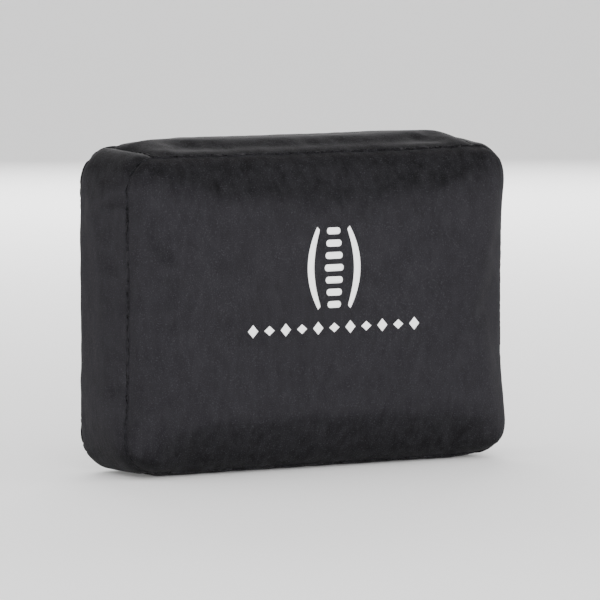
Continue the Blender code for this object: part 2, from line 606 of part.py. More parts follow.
def add_buckle_plug(root):
    """The plug: its body with a tongue that centres it, and a prong hinged at each side."""
    origin = (PLUG_FACE_X, BUCKLE_MID_Y, STRAP_Z)
    end_x = PLUG_FACE_X + PLUG_BODY_LENGTH
    half = BUCKLE_WIDTH / 2
    plug = add_part("buckle_plug", buckle_block(PLUG_FACE_X, end_x, half), "acetal", origin, root)
    round_edges(plug, BUCKLE_EDGE_RADIUS)
    combine(plug, "UNION", "plug_frame", buckle_frame(end_x, PLUG_BAR_X))
    combine(plug, "DIFFERENCE", "plug_webbing_slot", webbing_slot(end_x, PLUG_BAR_X))
    pocket_end = PRONG_ROOT_X + PRONG_ARM_THICKNESS / 2 + GAP
    pocket_half = PRONG_HEIGHT / 2 + GAP
    for name, side in (("upper", 1), ("lower", -1)):
        near = STRAP_Z + side * (PRONG_ARM_OFFSET - PRONG_ARM_THICKNESS / 2 - PRONG_SWING_ROOM)
        far = STRAP_Z + side * (PRONG_ARM_OFFSET + PRONG_ARM_THICKNESS / 2 + GAP)
        low_z, high_z = sorted((near, far))
        pocket = block(
            (PLUG_FACE_X - FRAME_OVERLAP, BUCKLE_MID_Y - pocket_half, low_z),
            (pocket_end, BUCKLE_MID_Y + pocket_half, high_z),
        )
        combine(plug, "DIFFERENCE", f"plug_pocket_{name}", pocket)
    tongue = block(
        (PLUG_FACE_X - TONGUE_REACH, BUCKLE_MID_Y - TONGUE_THICKNESS / 2, STRAP_Z - TONGUE_WIDTH / 2),
        (PLUG_FACE_X + FRAME_OVERLAP, BUCKLE_MID_Y + TONGUE_THICKNESS / 2, STRAP_Z + TONGUE_WIDTH / 2),
    )
    combine(plug, "UNION", "plug_tongue", tongue)
    for name, side in (("upper", 1), ("lower", -1)):
        root_z = STRAP_Z + side * PRONG_ARM_OFFSET
        outline = [(x, STRAP_Z + side * z) for x, z in prong_outline()]
        prong = prism(outline, "Y", BUCKLE_MID_Y - PRONG_HEIGHT / 2, BUCKLE_MID_Y + PRONG_HEIGHT / 2)
        pivot = (PRONG_ROOT_X, BUCKLE_MID_Y, root_z)
        add_part(f"buckle_prong_{name}", prong, "acetal", pivot, plug)

    turn = loop_turn(PLUG_BAR_X, BAR_LENGTH, BAR_HIGH_Y, -1)
    loop_end = PLUG_BAR_X + STRAP_LOOP_STITCHING + BAR_FRAME_LENGTH
    past_bar = PLUG_BAR_X + BAR_LENGTH / 2 + STRAP_THICKNESS
    doubled_x = past_bar + STRAP_LOOP_STITCHING / 2
    path = [(loop_end, LOW_STRAP_Y)] + turn
    path += [(past_bar, HIGH_STRAP_Y), (doubled_x, DOUBLED_STRAP_Y), (loop_end, DOUBLED_STRAP_Y)]
    strap_band("strap_right_loop", path, plug, origin)
    seam_x = WIDTH / 2 - STRAP_SEAM_INSET
    strap_band("strap_right", [(loop_end + GAP, LOW_STRAP_Y), (seam_x, LOW_STRAP_Y)], root)


def prong_outline():
    """(x, z) of a prong above the middle: round root, straight arm, catch, button and tip."""
    inner_z = PRONG_ARM_OFFSET - PRONG_ARM_THICKNESS / 2
    outer_z = PRONG_ARM_OFFSET + PRONG_ARM_THICKNESS / 2
    catch_z = CAVITY_HALF_WIDTH + PRONG_CATCH
    button_z = BUCKLE_WIDTH / 2 + PRONG_BUTTON_PROUD
    tip_x = PLUG_FACE_X - PRONG_REACH
    reach = CATCH_X - tip_x
    points = arc((PRONG_ROOT_X, PRONG_ARM_OFFSET), PRONG_ARM_THICKNESS / 2, -90, 90, CORNER_SEGMENTS)
    points += [(CATCH_X, outer_z), (CATCH_X, catch_z)]
    points += [(CATCH_X - 0.30 * reach, button_z), (CATCH_X - 0.55 * reach, button_z)]
    points += [(CATCH_X - 0.80 * reach, catch_z - PRONG_CATCH), (tip_x, outer_z), (tip_x, inner_z)]
    return points


def add_care_label(root):
    low_z = HEIGHT - COVER_THICKNESS - LABEL_LENGTH
    low = (LABEL_X - LABEL_WIDTH / 2, BEHIND_PANEL_Y, low_z)
    high = (LABEL_X + LABEL_WIDTH / 2, BEHIND_PANEL_Y + LABEL_THICKNESS, low_z + LABEL_LENGTH)
    add_part("care_label", block(low, high), "satin", parent=root)


def main():
    clear_scene()
    root = bpy.data.objects.new("cushion", None)
    bpy.context.scene.collection.objects.link(root)
    add_foam_and_liner(root)
    front = crowned_shell(0.0, COVER_THICKNESS, -PANEL_INNER_Y)
    add_part("front_panel", front, "plush", parent=root)
    add_gussets(root)
    add_back_panels(root)
    add_film(root)
    add_zipper(root)
    add_zipper_slider(root)
    add_left_strap(root)
    add_adjuster(root)
    add_buckle_socket(root)
    add_buckle_plug(root)
    add_care_label(root)


main()
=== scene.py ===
"""Looks of a strap-on lumbar cushion: plush cover, printed motif, zipper, strap and buckle.

Laid out as a Blender add-on whose operators each make one group of pieces around the frame.
"""

import json
import math
import sys

import bmesh
import bpy
import numpy as np
from bpy.props import FloatProperty, IntProperty, PointerProperty, StringProperty
from mathutils import Vector, noise
from mathutils.bvhtree import BVHTree
from mathutils.kdtree import KDTree
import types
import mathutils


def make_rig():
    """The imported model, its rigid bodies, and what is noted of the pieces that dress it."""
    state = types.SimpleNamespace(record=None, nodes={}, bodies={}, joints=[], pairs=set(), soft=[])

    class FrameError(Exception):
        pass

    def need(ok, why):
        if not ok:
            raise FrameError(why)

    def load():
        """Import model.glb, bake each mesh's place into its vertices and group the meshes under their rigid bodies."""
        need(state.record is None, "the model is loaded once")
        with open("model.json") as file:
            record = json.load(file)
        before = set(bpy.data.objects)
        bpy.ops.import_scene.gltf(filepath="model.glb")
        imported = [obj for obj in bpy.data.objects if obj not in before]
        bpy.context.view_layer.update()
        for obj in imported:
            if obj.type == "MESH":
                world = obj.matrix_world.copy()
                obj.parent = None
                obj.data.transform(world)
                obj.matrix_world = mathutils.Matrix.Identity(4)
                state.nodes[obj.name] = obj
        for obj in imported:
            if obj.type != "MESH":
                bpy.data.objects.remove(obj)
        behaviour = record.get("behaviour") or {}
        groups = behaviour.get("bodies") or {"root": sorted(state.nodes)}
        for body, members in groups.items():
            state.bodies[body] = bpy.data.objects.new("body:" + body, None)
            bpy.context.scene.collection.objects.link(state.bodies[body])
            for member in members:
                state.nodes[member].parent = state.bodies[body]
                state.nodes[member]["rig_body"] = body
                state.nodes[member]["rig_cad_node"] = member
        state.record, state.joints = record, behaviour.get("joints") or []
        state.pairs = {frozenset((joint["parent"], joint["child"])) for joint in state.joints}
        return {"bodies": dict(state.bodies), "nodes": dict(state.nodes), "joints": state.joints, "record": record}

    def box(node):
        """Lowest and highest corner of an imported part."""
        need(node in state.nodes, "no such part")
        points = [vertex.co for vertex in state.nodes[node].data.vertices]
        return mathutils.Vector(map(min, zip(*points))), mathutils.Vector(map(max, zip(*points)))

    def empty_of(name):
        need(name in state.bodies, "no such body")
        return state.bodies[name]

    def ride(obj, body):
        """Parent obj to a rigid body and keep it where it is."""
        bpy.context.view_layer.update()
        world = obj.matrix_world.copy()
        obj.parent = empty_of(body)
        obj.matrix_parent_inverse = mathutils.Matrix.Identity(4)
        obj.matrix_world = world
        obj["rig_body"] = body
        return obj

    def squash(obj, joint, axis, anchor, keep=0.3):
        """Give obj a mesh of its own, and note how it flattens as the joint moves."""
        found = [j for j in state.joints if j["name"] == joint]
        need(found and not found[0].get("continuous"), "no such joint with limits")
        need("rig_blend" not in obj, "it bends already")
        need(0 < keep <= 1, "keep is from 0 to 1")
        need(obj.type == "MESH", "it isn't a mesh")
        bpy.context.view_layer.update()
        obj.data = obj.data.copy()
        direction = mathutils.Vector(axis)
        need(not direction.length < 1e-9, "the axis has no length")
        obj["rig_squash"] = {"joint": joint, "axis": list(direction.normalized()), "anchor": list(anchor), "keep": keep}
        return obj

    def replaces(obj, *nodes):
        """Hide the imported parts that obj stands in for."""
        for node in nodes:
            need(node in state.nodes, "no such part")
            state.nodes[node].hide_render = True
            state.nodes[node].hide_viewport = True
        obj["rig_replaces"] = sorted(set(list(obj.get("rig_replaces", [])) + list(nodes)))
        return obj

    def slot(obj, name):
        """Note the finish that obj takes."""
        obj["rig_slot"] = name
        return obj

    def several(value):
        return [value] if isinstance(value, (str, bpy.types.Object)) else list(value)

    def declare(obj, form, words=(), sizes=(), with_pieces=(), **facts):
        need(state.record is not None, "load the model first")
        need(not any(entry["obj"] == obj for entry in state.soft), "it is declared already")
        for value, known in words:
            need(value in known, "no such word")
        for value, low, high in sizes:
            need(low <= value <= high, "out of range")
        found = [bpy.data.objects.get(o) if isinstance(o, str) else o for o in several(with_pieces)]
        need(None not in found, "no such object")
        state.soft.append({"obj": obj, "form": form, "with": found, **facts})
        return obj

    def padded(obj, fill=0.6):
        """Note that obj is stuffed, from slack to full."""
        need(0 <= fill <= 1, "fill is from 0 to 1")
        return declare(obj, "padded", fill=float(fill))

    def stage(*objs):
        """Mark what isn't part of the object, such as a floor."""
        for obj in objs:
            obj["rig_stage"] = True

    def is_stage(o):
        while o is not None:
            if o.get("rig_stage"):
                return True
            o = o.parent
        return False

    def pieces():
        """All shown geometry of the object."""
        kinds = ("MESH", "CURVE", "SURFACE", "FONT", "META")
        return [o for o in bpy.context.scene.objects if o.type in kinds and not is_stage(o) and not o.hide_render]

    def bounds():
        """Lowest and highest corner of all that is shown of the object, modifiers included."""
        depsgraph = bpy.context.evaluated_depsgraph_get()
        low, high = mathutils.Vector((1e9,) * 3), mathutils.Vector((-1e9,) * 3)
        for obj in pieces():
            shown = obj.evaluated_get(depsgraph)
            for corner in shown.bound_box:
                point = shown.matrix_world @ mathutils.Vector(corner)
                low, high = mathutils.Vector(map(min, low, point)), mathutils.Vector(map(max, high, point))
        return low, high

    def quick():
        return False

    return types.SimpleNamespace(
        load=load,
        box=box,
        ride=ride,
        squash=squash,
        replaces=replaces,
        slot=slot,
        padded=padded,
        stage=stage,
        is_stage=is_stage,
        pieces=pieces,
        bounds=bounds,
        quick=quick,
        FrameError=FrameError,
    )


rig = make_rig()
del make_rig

bl_info = {
    "name": "Lumbar Cushion Looks",
    "version": (1, 0, 0),
    "blender": (4, 5, 0),
    "location": "View3D > Sidebar > Lumbar Cushion",
    "description": "Builds the plush cover, print, zipper, strap and buckle of a lumbar cushion",
    "category": "Add Mesh",
}

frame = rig.load()
CAD_BOX = [list(corner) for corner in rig.bounds()]

MM = 0.001
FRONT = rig.box("front_panel")
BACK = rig.box("back_panel_upper")
LOWER_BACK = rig.box("back_panel_lower")
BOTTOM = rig.box("gusset_bottom")
HALF_WIDTH = FRONT[1].x
HEIGHT = FRONT[1].z
MID_Z = HEIGHT / 2
STRAIGHT_HALF = BOTTOM[1].x
CORNER = HALF_WIDTH - STRAIGHT_HALF
FRONT_SEAM_Y = FRONT[1].y - 1.2 * MM
BACK_SEAM_Y = BACK[0].y
BACK_Y = BACK[1].y
ZIPPER_Z = (BACK[0].z + LOWER_BACK[1].z) / 2
SLOT_HALF_HEIGHT = 6 * MM
SLOT_HALF_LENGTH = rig.box("zipper_top_stop_upper")[1].x + 4.5 * MM
SLOT_LOW, SLOT_HIGH = ZIPPER_Z - SLOT_HALF_HEIGHT, ZIPPER_Z + SLOT_HALF_HEIGHT
SLOT_EDGE_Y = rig.box("zipper_tape_upper")[1].y + 0.45 * MM  # the slot's edges end above the tape
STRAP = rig.box("strap_right")
STRAP_Z = (STRAP[0].z + STRAP[1].z) / 2
STRAP_HALF_WIDTH = (STRAP[1].z - STRAP[0].z) / 2
STRAP_THICKNESS = STRAP[1].y - STRAP[0].y
STRAP_SLOT_HALF = STRAP_HALF_WIDTH + 0.5 * MM  # the strap's clearance in the buckle and the adjuster
BAR_HALF = 1.75 * MM  # half the width of the buckle's webbing bars
BUCKLE_FRAME = 10 * MM  # how far each flat end of the buckle reaches
BUCKLE_TRAVEL = 30 * MM
ADJUSTER_TRAVEL = 40 * MM
SIMULATED_FRAMES = 20
MOST_SWELL = 4.0 * MM
STITCH_RISE = 0.25 * MM
# along a stitch, in shares of its length: its rise and its thickness
STITCH_PROFILE = ((0, -1.0, 0.6), (0.16, 0.35, 1), (0.5, 0.8, 1), (0.84, 0.35, 1), (1, -1.0, 0.6))


class CoverSettings(bpy.types.PropertyGroup):
    """Shape and colours of the plush cover and of the print on it"""

    columns: IntProperty(name="Columns", description="Mesh columns across the cushion", default=50)
    rows: IntProperty(name="Rows", description="Mesh rows up the cushion", default=36)
    side_rings: IntProperty(name="Side rings", description="Mesh rings through the boxed edge", default=10)
    roll: FloatProperty(
        name="Front roll", description="How far in from the seam the front keeps curving",
        default=0.038, unit="LENGTH",
    )
    crown: FloatProperty(
        name="Crown", description="How far the front stands out before it is inflated",
        default=0.0165, unit="LENGTH",
    )
    seam_depth: FloatProperty(
        name="Seam depth", description="How far the panels turn in at a seam", default=0.0034, unit="LENGTH",
    )
    seam_width: FloatProperty(
        name="Seam width", description="How far from a seam the panels start to turn in",
        default=0.0036, unit="LENGTH",
    )
    waist: FloatProperty(
        name="Waist", description="How far the sides pull in between the corners",
        default=0.0028, unit="LENGTH",
    )
    pressure: FloatProperty(
        name="Pressure", description="Inflation of the cover by its filling", default=5.0,
    )
    pucker: FloatProperty(
        name="Seam pucker", description="Height of the ripples along the seams",
        default=0.0005, unit="LENGTH",
    )
    fabric: FloatProperty(
        name="Fabric thickness", description="Thickness of the plush cover", default=0.0012, unit="LENGTH",
    )
    # painted shade: the plush's colour where its surface turns up or down, mixed in by the normal's direction
    plush_dark: StringProperty(
        name="Plush, shaded", description="sRGB hex of the nap at its darkest", default="#060607",
    )
    plush_light: StringProperty(
        name="Plush, facing", description="sRGB hex of the nap seen face on", default="#1b1a1d",
    )
    plush_brushed: StringProperty(
        name="Plush, brushed", description="sRGB hex of the nap brushed lighter", default="#201f22",
    )
    film: StringProperty(name="Print", description="sRGB hex of the printed film", default="#fbfbfb")


class HardwareSettings(bpy.types.PropertyGroup):
    """Sewing, zipper, strap and buckle"""

    coil_pitch: FloatProperty(
        name="Coil pitch", description="Distance between turns of the zipper coil",
        default=0.0016, unit="LENGTH",
    )
    stitch_pitch: FloatProperty(
        name="Stitch pitch", description="Distance between topstitches", default=0.0034, unit="LENGTH",
    )
    stitch_radius: FloatProperty(
        name="Thread radius", description="Half the thickness of the sewing thread",
        default=0.00028, unit="LENGTH",
    )
    acetal: StringProperty(name="Buckle", description="sRGB hex of the moulded buckle", default="#121213")
    metal: StringProperty(
        name="Zipper metal", description="sRGB hex of the painted slider", default="#1b1b1d",
    )
    webbing: StringProperty(name="Webbing", description="sRGB hex of the elastic strap", default="#151517")


class StageSettings(bpy.types.PropertyGroup):
    """Camera and backdrop"""

    azimuth: FloatProperty(name="Azimuth", description="Camera angle round the cushion", default=-30.0)
    elevation: FloatProperty(name="Elevation", description="Camera angle above the horizon", default=5.0)
    distance: FloatProperty(name="Distance", description="Camera distance", default=4.3, unit="LENGTH")
    lens: FloatProperty(name="Lens", description="Focal length in millimetres", default=365.0)
    backdrop: StringProperty(
        name="Backdrop", description="sRGB hex of the floor and backdrop", default="#f3f3f3",
    )


# ---------------------------------------------------------------- materials


def colour(text):
    """Linear RGBA of an sRGB hex colour."""
    channels = [int(text[i : i + 2], 16) / 255 for i in (1, 3, 5)]
    linear = [c / 12.92 if c <= 0.04045 else ((c + 0.055) / 1.055) ** 2.4 for c in channels]
    return (*linear, 1.0)


def per_mm(size):
    """Texture scale whose features are that many millimetres across."""
    return 1000.0 / size


def add_node(tree, kind, settings=None, links=None):
    """A node with its attributes and socket values set and its inputs linked."""
    node = tree.nodes.new(kind)
    for key, value in (settings or {}).items():
        if isinstance(key, str) and hasattr(node, key):
            setattr(node, key, value)
        else:
            node.inputs[key].default_value = value
    for key, socket in (links or {}).items():
        tree.links.new(socket, node.inputs[key])
    return node


def new_material(name, base, **sockets):
    """A Principled material; sockets are given with underscores for spaces."""
    material = bpy.data.materials.new(name)
    material.use_nodes = True
    tree = material.node_tree
    shader = tree.nodes["Principled BSDF"]
    shader.inputs["Base Color"].default_value = colour(base)
    for key, value in sockets.items():
        shader.inputs[key.replace("_", " ")].default_value = value
    return material, tree, shader


def object_position(tree):
    """Position on the object, in metres."""
    return add_node(tree, "ShaderNodeTexCoord").outputs["Object"]


def grain(tree, position, size_mm, detail=2.0, stretch=(1, 1, 1)):
    """Noise of a real size, optionally stretched along an axis."""
    scaled = add_node(
        tree, "ShaderNodeVectorMath", {"operation": "MULTIPLY", 1: stretch}, {0: position}
    )
    settings = {"Scale": per_mm(size_mm), "Detail": detail, "Roughness": 0.55}
    return add_node(tree, "ShaderNodeTexNoise", settings, {"Vector": scaled.outputs[0]}).outputs["Fac"]


def ramp(tree, factor, low, high):
    """Stretch a 0 to 1 factor between two thresholds."""
    settings = {"From Min": low, "From Max": high, "clamp": True}
    return add_node(tree, "ShaderNodeMapRange", settings, {"Value": factor}).outputs["Result"]


def mixed(tree, factor, one, two):
    """Mix of two colours, each a socket or an RGBA."""
    node = add_node(tree, "ShaderNodeMix", {"data_type": "RGBA"}, {0: factor})
    for index, value in ((6, one), (7, two)):
        if isinstance(value, tuple):
            node.inputs[index].default_value = value
        else:
            tree.links.new(value, node.inputs[index])
    return node.outputs[2]


def relief(tree, shader, *layers):
    """Stack bumps, each (height socket, distance in metres, strength), into the shader's normal."""
    normal = None
    for height, distance, strength in layers:
        links = {"Height": height}
        if normal:
            links["Normal"] = normal
        settings = {"Distance": distance, "Strength": strength}
        normal = add_node(tree, "ShaderNodeBump", settings, links).outputs["Normal"]
    tree.links.new(normal, shader.inputs["Normal"])


MADE = {}


def material(name):
    """The material of that name, made once by the function of the same name."""
    if name not in MADE:
        MADE[name] = globals()[name]()
    return MADE[name]


def polyester_plush():
    """Cut-pile polyester velour, brushed sideways: soft and near black, with painted shade where it turns up
    or down, faint cloudy patches and short fibres that catch the light."""
    cover = bpy.context.scene.lumbar_cover
    made, tree, shader = new_material(
        "polyester_plush", cover.plush_dark, Roughness=0.92, IOR=1.45, Specular_IOR_Level=0.12,
        Sheen_Weight=0.06, Sheen_Roughness=0.45, Sheen_Tint=colour("#b4b2b6"),
    )
    position = object_position(tree)
    # painted shade: the plush darkens where its normal turns up or down, as if the top and bottom rolls fell into shade
    normal = add_node(tree, "ShaderNodeTexCoord").outputs["Normal"]
    split = add_node(tree, "ShaderNodeSeparateXYZ", {}, {0: normal})
    upright = add_node(tree, "ShaderNodeMath", {"operation": "ABSOLUTE"}, {0: split.outputs[2]}).outputs[0]
    turned = ramp(tree, upright, 0.03, 0.5)
    brushed = ramp(tree, grain(tree, position, 38, 3, (1, 1, 1.7)), 0.25, 0.85)
    nap = ramp(tree, grain(tree, position, 5.5, 3, (1, 1, 0.45)), 0.3, 0.7)
    pile = grain(tree, position, 0.8, 2)
    flat = mixed(tree, brushed, colour(cover.plush_light), colour(cover.plush_brushed))
    base = mixed(tree, turned, flat, colour(cover.plush_dark))
    shaded = mixed(tree, ramp(tree, nap, 0.0, 4.0), base, colour("#303033"))
    flecked = mixed(tree, ramp(tree, pile, 0.55, 1.0), shaded, colour("#424146"))
    tree.links.new(flecked, shader.inputs["Base Color"])
    relief(tree, shader, (nap, 0.0005, 0.3), (pile, 0.0004, 0.5))
    return made


def transfer_film():
    """Heat-pressed polyurethane film: smooth satin white that picks up the pile under it."""
    film = bpy.context.scene.lumbar_cover.film
    made, tree, shader = new_material(
        "transfer_film", film, Roughness=0.42, IOR=1.49, Specular_IOR_Level=0.45,
    )
    position = object_position(tree)
    pile = grain(tree, position, 1.1, 2)
    worn = ramp(tree, grain(tree, position, 3.2, 4), 0.66, 0.92)
    base = mixed(tree, worn, colour(film), colour("#d4d4d7"))
    tree.links.new(base, shader.inputs["Base Color"])
    relief(tree, shader, (pile, 0.0003, 0.30))
    return made


def wave(tree, distance, pitch_mm):
    """Sine wave with a pitch in millimetres, along a distance socket."""
    settings = {"operation": "MULTIPLY", 1: math.tau * per_mm(pitch_mm)}
    turned = add_node(tree, "ShaderNodeMath", settings, {0: distance}).outputs[0]
    return add_node(tree, "ShaderNodeMath", {"operation": "SINE"}, {0: turned}).outputs[0]


def weave(tree, position, along_mm, across_mm):
    """A plain weave: its wave along X, its wave along Z and their product."""
    split = add_node(tree, "ShaderNodeSeparateXYZ", {}, {0: position})
    along = wave(tree, split.outputs["X"], along_mm)
    across = wave(tree, split.outputs["Z"], across_mm)
    crossed = add_node(tree, "ShaderNodeMath", {"operation": "MULTIPLY"}, {0: along, 1: across})
    return along, across, crossed.outputs[0]


def elastic_webbing():
    """Woven polyester elastic: round ribs along the strap, crossed by fine weft lines."""
    webbing = bpy.context.scene.lumbar_hardware.webbing
    made, tree, shader = new_material(
        "elastic_webbing", webbing, Roughness=0.78, IOR=1.5, Specular_IOR_Level=0.3,
        Sheen_Weight=0.25, Sheen_Roughness=0.4, Sheen_Tint=colour("#a8a8b0"),
    )
    position = object_position(tree)
    _, rib, crossed = weave(tree, position, 1.3, 1.9)
    fuzz = grain(tree, position, 0.7, 2)
    base = mixed(tree, ramp(tree, crossed, -1.0, 1.0), colour(webbing), colour("#262629"))
    tree.links.new(base, shader.inputs["Base Color"])
    relief(tree, shader, (rib, 0.00022, 0.8), (crossed, 0.00018, 0.8), (fuzz, 0.0001, 0.4))
    return made


def moulded_acetal():
    """Injection-moulded acetal: slightly waxy satin black with a fine spark-eroded grain."""
    made, tree, shader = new_material(
        "moulded_acetal", bpy.context.scene.lumbar_hardware.acetal, Roughness=0.38, IOR=1.48,
        Specular_IOR_Level=0.5,
    )
    position = object_position(tree)
    scuffs = grain(tree, position, 7, 5)
    roughness = add_node(
        tree, "ShaderNodeMapRange", {"To Min": 0.30, "To Max": 0.46}, {"Value": scuffs}
    )
    tree.links.new(roughness.outputs["Result"], shader.inputs["Roughness"])
    relief(tree, shader, (grain(tree, position, 0.35, 1), 0.00005, 0.5))
    return made


def painted_zinc():
    """Die-cast zinc under black paint: hard satin gloss, with small lighter worn patches."""
    metal = bpy.context.scene.lumbar_hardware.metal
    made, tree, shader = new_material(
        "painted_zinc", metal, Roughness=0.3, IOR=1.5, Metallic=0.35, Coat_Weight=0.4, Coat_Roughness=0.22,
    )
    position = object_position(tree)
    chips = ramp(tree, grain(tree, position, 1.6, 5), 0.62, 0.75)
    base = mixed(tree, chips, colour(metal), colour("#3c3c40"))
    tree.links.new(base, shader.inputs["Base Color"])
    relief(tree, shader, (grain(tree, position, 1.2, 2), 0.00006, 0.4))
    return made


def nylon_coil():
    """Extruded nylon monofilament: glossy black with a faint grain."""
    made, tree, shader = new_material(
        "nylon_coil", "#19191b", Roughness=0.32, IOR=1.53, Specular_IOR_Level=0.5,
    )
    relief(tree, shader, (grain(tree, object_position(tree), 0.5, 1), 0.00003, 0.4))
    return made


def woven_tape():
    """Twill-woven polyester zipper tape: matt black with fine diagonal ribs."""
    made, tree, shader = new_material(
        "woven_tape", "#141416", Roughness=0.85, IOR=1.5, Specular_IOR_Level=0.25,
    )
    split = add_node(tree, "ShaderNodeSeparateXYZ", {}, {0: object_position(tree)})
    links = {0: split.outputs["X"], 1: split.outputs["Z"]}
    twill = wave(tree, add_node(tree, "ShaderNodeMath", {"operation": "ADD"}, links).outputs[0], 1.1)
    base = mixed(tree, ramp(tree, twill, -1, 1), colour("#111113"), colour("#232327"))
    tree.links.new(base, shader.inputs["Base Color"])
    relief(tree, shader, (twill, 0.00012, 0.7))
    return made


def sewing_thread():
    """Bonded polyester thread: dark grey, slightly fuzzy, with a soft shine."""
    made, tree, shader = new_material(
        "sewing_thread", "#202023", Roughness=0.55, IOR=1.5, Sheen_Weight=0.3, Sheen_Roughness=0.3,
    )
    relief(tree, shader, (grain(tree, object_position(tree), 0.4, 1), 0.00006, 0.6))
    return made


def satin_ribbon():
    """Woven satin label ribbon, blank: white with a silky cross-wise sheen."""
    made, tree, shader = new_material(
        "satin_ribbon", "#dcdcda", Roughness=0.42, IOR=1.5, Sheen_Weight=0.3, Sheen_Roughness=0.25,
    )
    position = object_position(tree)
    # painted shade of creases: cloudy patches darken the ribbon's white
    creased = ramp(tree, grain(tree, position, 9, 4), 0.4, 0.8)
    base = mixed(tree, creased, colour("#e2e2e0"), colour("#cbcbc9"))
    tree.links.new(base, shader.inputs["Base Color"])
    relief(tree, shader, (weave(tree, position, 0.8, 0.9)[2], 0.00005, 0.5))
    return made


def cut_foam():
    """Open-cell polyurethane foam: pale yellow, matt, pitted by its cells, with painted shade in the pits."""
    made, tree, shader = new_material(
        "cut_foam", "#dccf9c", Roughness=0.95, IOR=1.4, Specular_IOR_Level=0.2,
    )
    links = {"Vector": object_position(tree)}
    cells = add_node(tree, "ShaderNodeTexVoronoi", {"Scale": per_mm(1.4)}, links).outputs["Distance"]
    # painted shade in the pits: darker towards each cell's middle, where the bump sinks
    base = mixed(tree, cells, colour("#b9aa74"), colour("#e3d8aa"))
    tree.links.new(base, shader.inputs["Base Color"])
    relief(tree, shader, (cells, 0.0005, 0.7))
    return made


def spunbond_liner():
    """Spunbonded polypropylene liner: thin grey-white sheet with embossed bond points."""
    made, tree, shader = new_material("spunbond_liner", "#c4c4c0", Roughness=0.85, IOR=1.49)
    position = object_position(tree)
    cloudy = ramp(tree, grain(tree, position, 4, 4), 0.3, 0.7)
    base = mixed(tree, cloudy, colour("#bdbdb9"), colour("#cfcfcb"))
    tree.links.new(base, shader.inputs["Base Color"])
    relief(tree, shader, (weave(tree, position, 2.0, 2.0)[2], 0.0001, 0.5))
    return made


def studio_paper():
    """Matt painted floor and backdrop: near white with a faint tooth, and a faint glow that pales it."""
    made, tree, shader = new_material(
        "studio_paper", bpy.context.scene.lumbar_stage.backdrop, Roughness=0.9, Specular_IOR_Level=0.1,
        Emission_Color=colour("#ffffff"), Emission_Strength=0.12,
    )
    relief(tree, shader, (grain(tree, object_position(tree), 1.5, 2), 0.0001, 0.2))
    return made


# ---------------------------------------------------------------- mesh helpers


def link_mesh(name, mesh, finish, smooth=40):
    """An object of a mesh, smooth but for edges sharper than an angle in degrees."""
    mesh.shade_smooth()
    if smooth:
        mesh.set_sharp_from_angle(angle=math.radians(smooth))
    obj = bpy.data.objects.new(name, mesh)
    bpy.context.scene.collection.objects.link(obj)
    mesh.materials.append(material(finish))
    return obj


def mesh_from(name, bm):
    """A mesh of a bmesh, which is used up, with its normals facing out."""
    bmesh.ops.recalc_face_normals(bm, faces=bm.faces)
    mesh = bpy.data.meshes.new(name)
    bm.to_mesh(mesh)
    bm.free()
    return mesh


def finish_piece(obj, body, slot, *nodes):
    """Ride on a body, take a finish slot and stand for the CAD nodes."""
    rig.ride(obj, body)
    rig.slot(obj, slot)
    if nodes:
        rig.replaces(obj, *nodes)
    return obj


def baked(obj):
    """Apply all of an object's modifiers to its mesh."""
    graph = bpy.context.evaluated_depsgraph_get()
    mesh = bpy.data.meshes.new_from_object(obj.evaluated_get(graph))
    obj.modifiers.clear()
    old = obj.data
    obj.data = mesh
    bpy.data.meshes.remove(old)
    mesh.name = obj.name
    return obj


def skin(bm, rings, caps=True):
    """Join rings of points into a tube, with or without flat ends."""
    loops = [[bm.verts.new(point) for point in ring] for ring in rings]
    for one, two in zip(loops, loops[1:]):
        for i in range(len(one)):
            j = (i + 1) % len(one)
            bm.faces.new((one[i], one[j], two[j], two[i]))
    if caps:
        bm.faces.new(loops[0])
        bm.faces.new(loops[-1])
    return loops


def arc(centre, radius, start, end, segments):
    """Points (a, b) on an arc, angles in degrees, both ends included."""
    points = []
    for step in range(segments + 1):
        angle = math.radians(start + (end - start) * step / segments)
        points.append((centre[0] + radius * math.cos(angle), centre[1] + radius * math.sin(angle)))
    return points


def rounded_outline(low, high, radius, segments=5):
    """A rounded rectangle of (a, b) points between two corners."""
    points = []
    for turn, (a, b) in enumerate([(1, 1), (0, 1), (0, 0), (1, 0)]):
        centre = (
            high[0] - radius if a else low[0] + radius,
            high[1] - radius if b else low[1] + radius,
        )
        points += arc(centre, radius, 90 * turn, 90 * turn + 90, segments)
    return points


# ---------------------------------------------------------------- cover


def bulge(along, half):
    """How far a rounded-rectangle side stands out past its 45 degree corner points."""
    corner = CORNER * (1 - 1 / math.sqrt(2))
    past = max(0.0, abs(along) - (half - CORNER))
    return math.sqrt(max(0.0, CORNER**2 - past**2)) - CORNER + corner


def front_view(u, v):
    """(x, z) of a point of the cushion's front view, u and v from 0 to 1."""
    corner = CORNER * (1 - 1 / math.sqrt(2))
    x = (2 * u - 1) * (HALF_WIDTH - corner)
    z = (2 * v - 1) * (MID_Z - corner)
    out_x = (2 * u - 1) * bulge(z, MID_Z)
    out_z = (2 * v - 1) * bulge(x, HALF_WIDTH)
    level = v * HEIGHT
    straight = min(1.0, max(0.0, min(level, HEIGHT - level) / CORNER - 1) * 2)
    return x + out_x, (z + out_z + MID_Z) * (1 - straight) + level * straight


def edge_distance(x, z):
    """Distance in from the cushion's rounded outline."""
    qx = abs(x) - (HALF_WIDTH - CORNER)
    qz = abs(z - MID_Z) - (MID_Z - CORNER)
    outside = math.hypot(max(qx, 0.0), max(qz, 0.0))
    return CORNER - outside - min(max(qx, qz), 0.0)


def beside_slot(point):
    """Whether a point of the cover is on the back, along an edge of the zipper's slot."""
    x, y, z = point
    reach = 5 * MM
    along = abs(x) < SLOT_HALF_LENGTH + reach and abs(z - ZIPPER_Z) < SLOT_HALF_HEIGHT + reach
    return y > BACK_SEAM_Y - 1 * MM and along


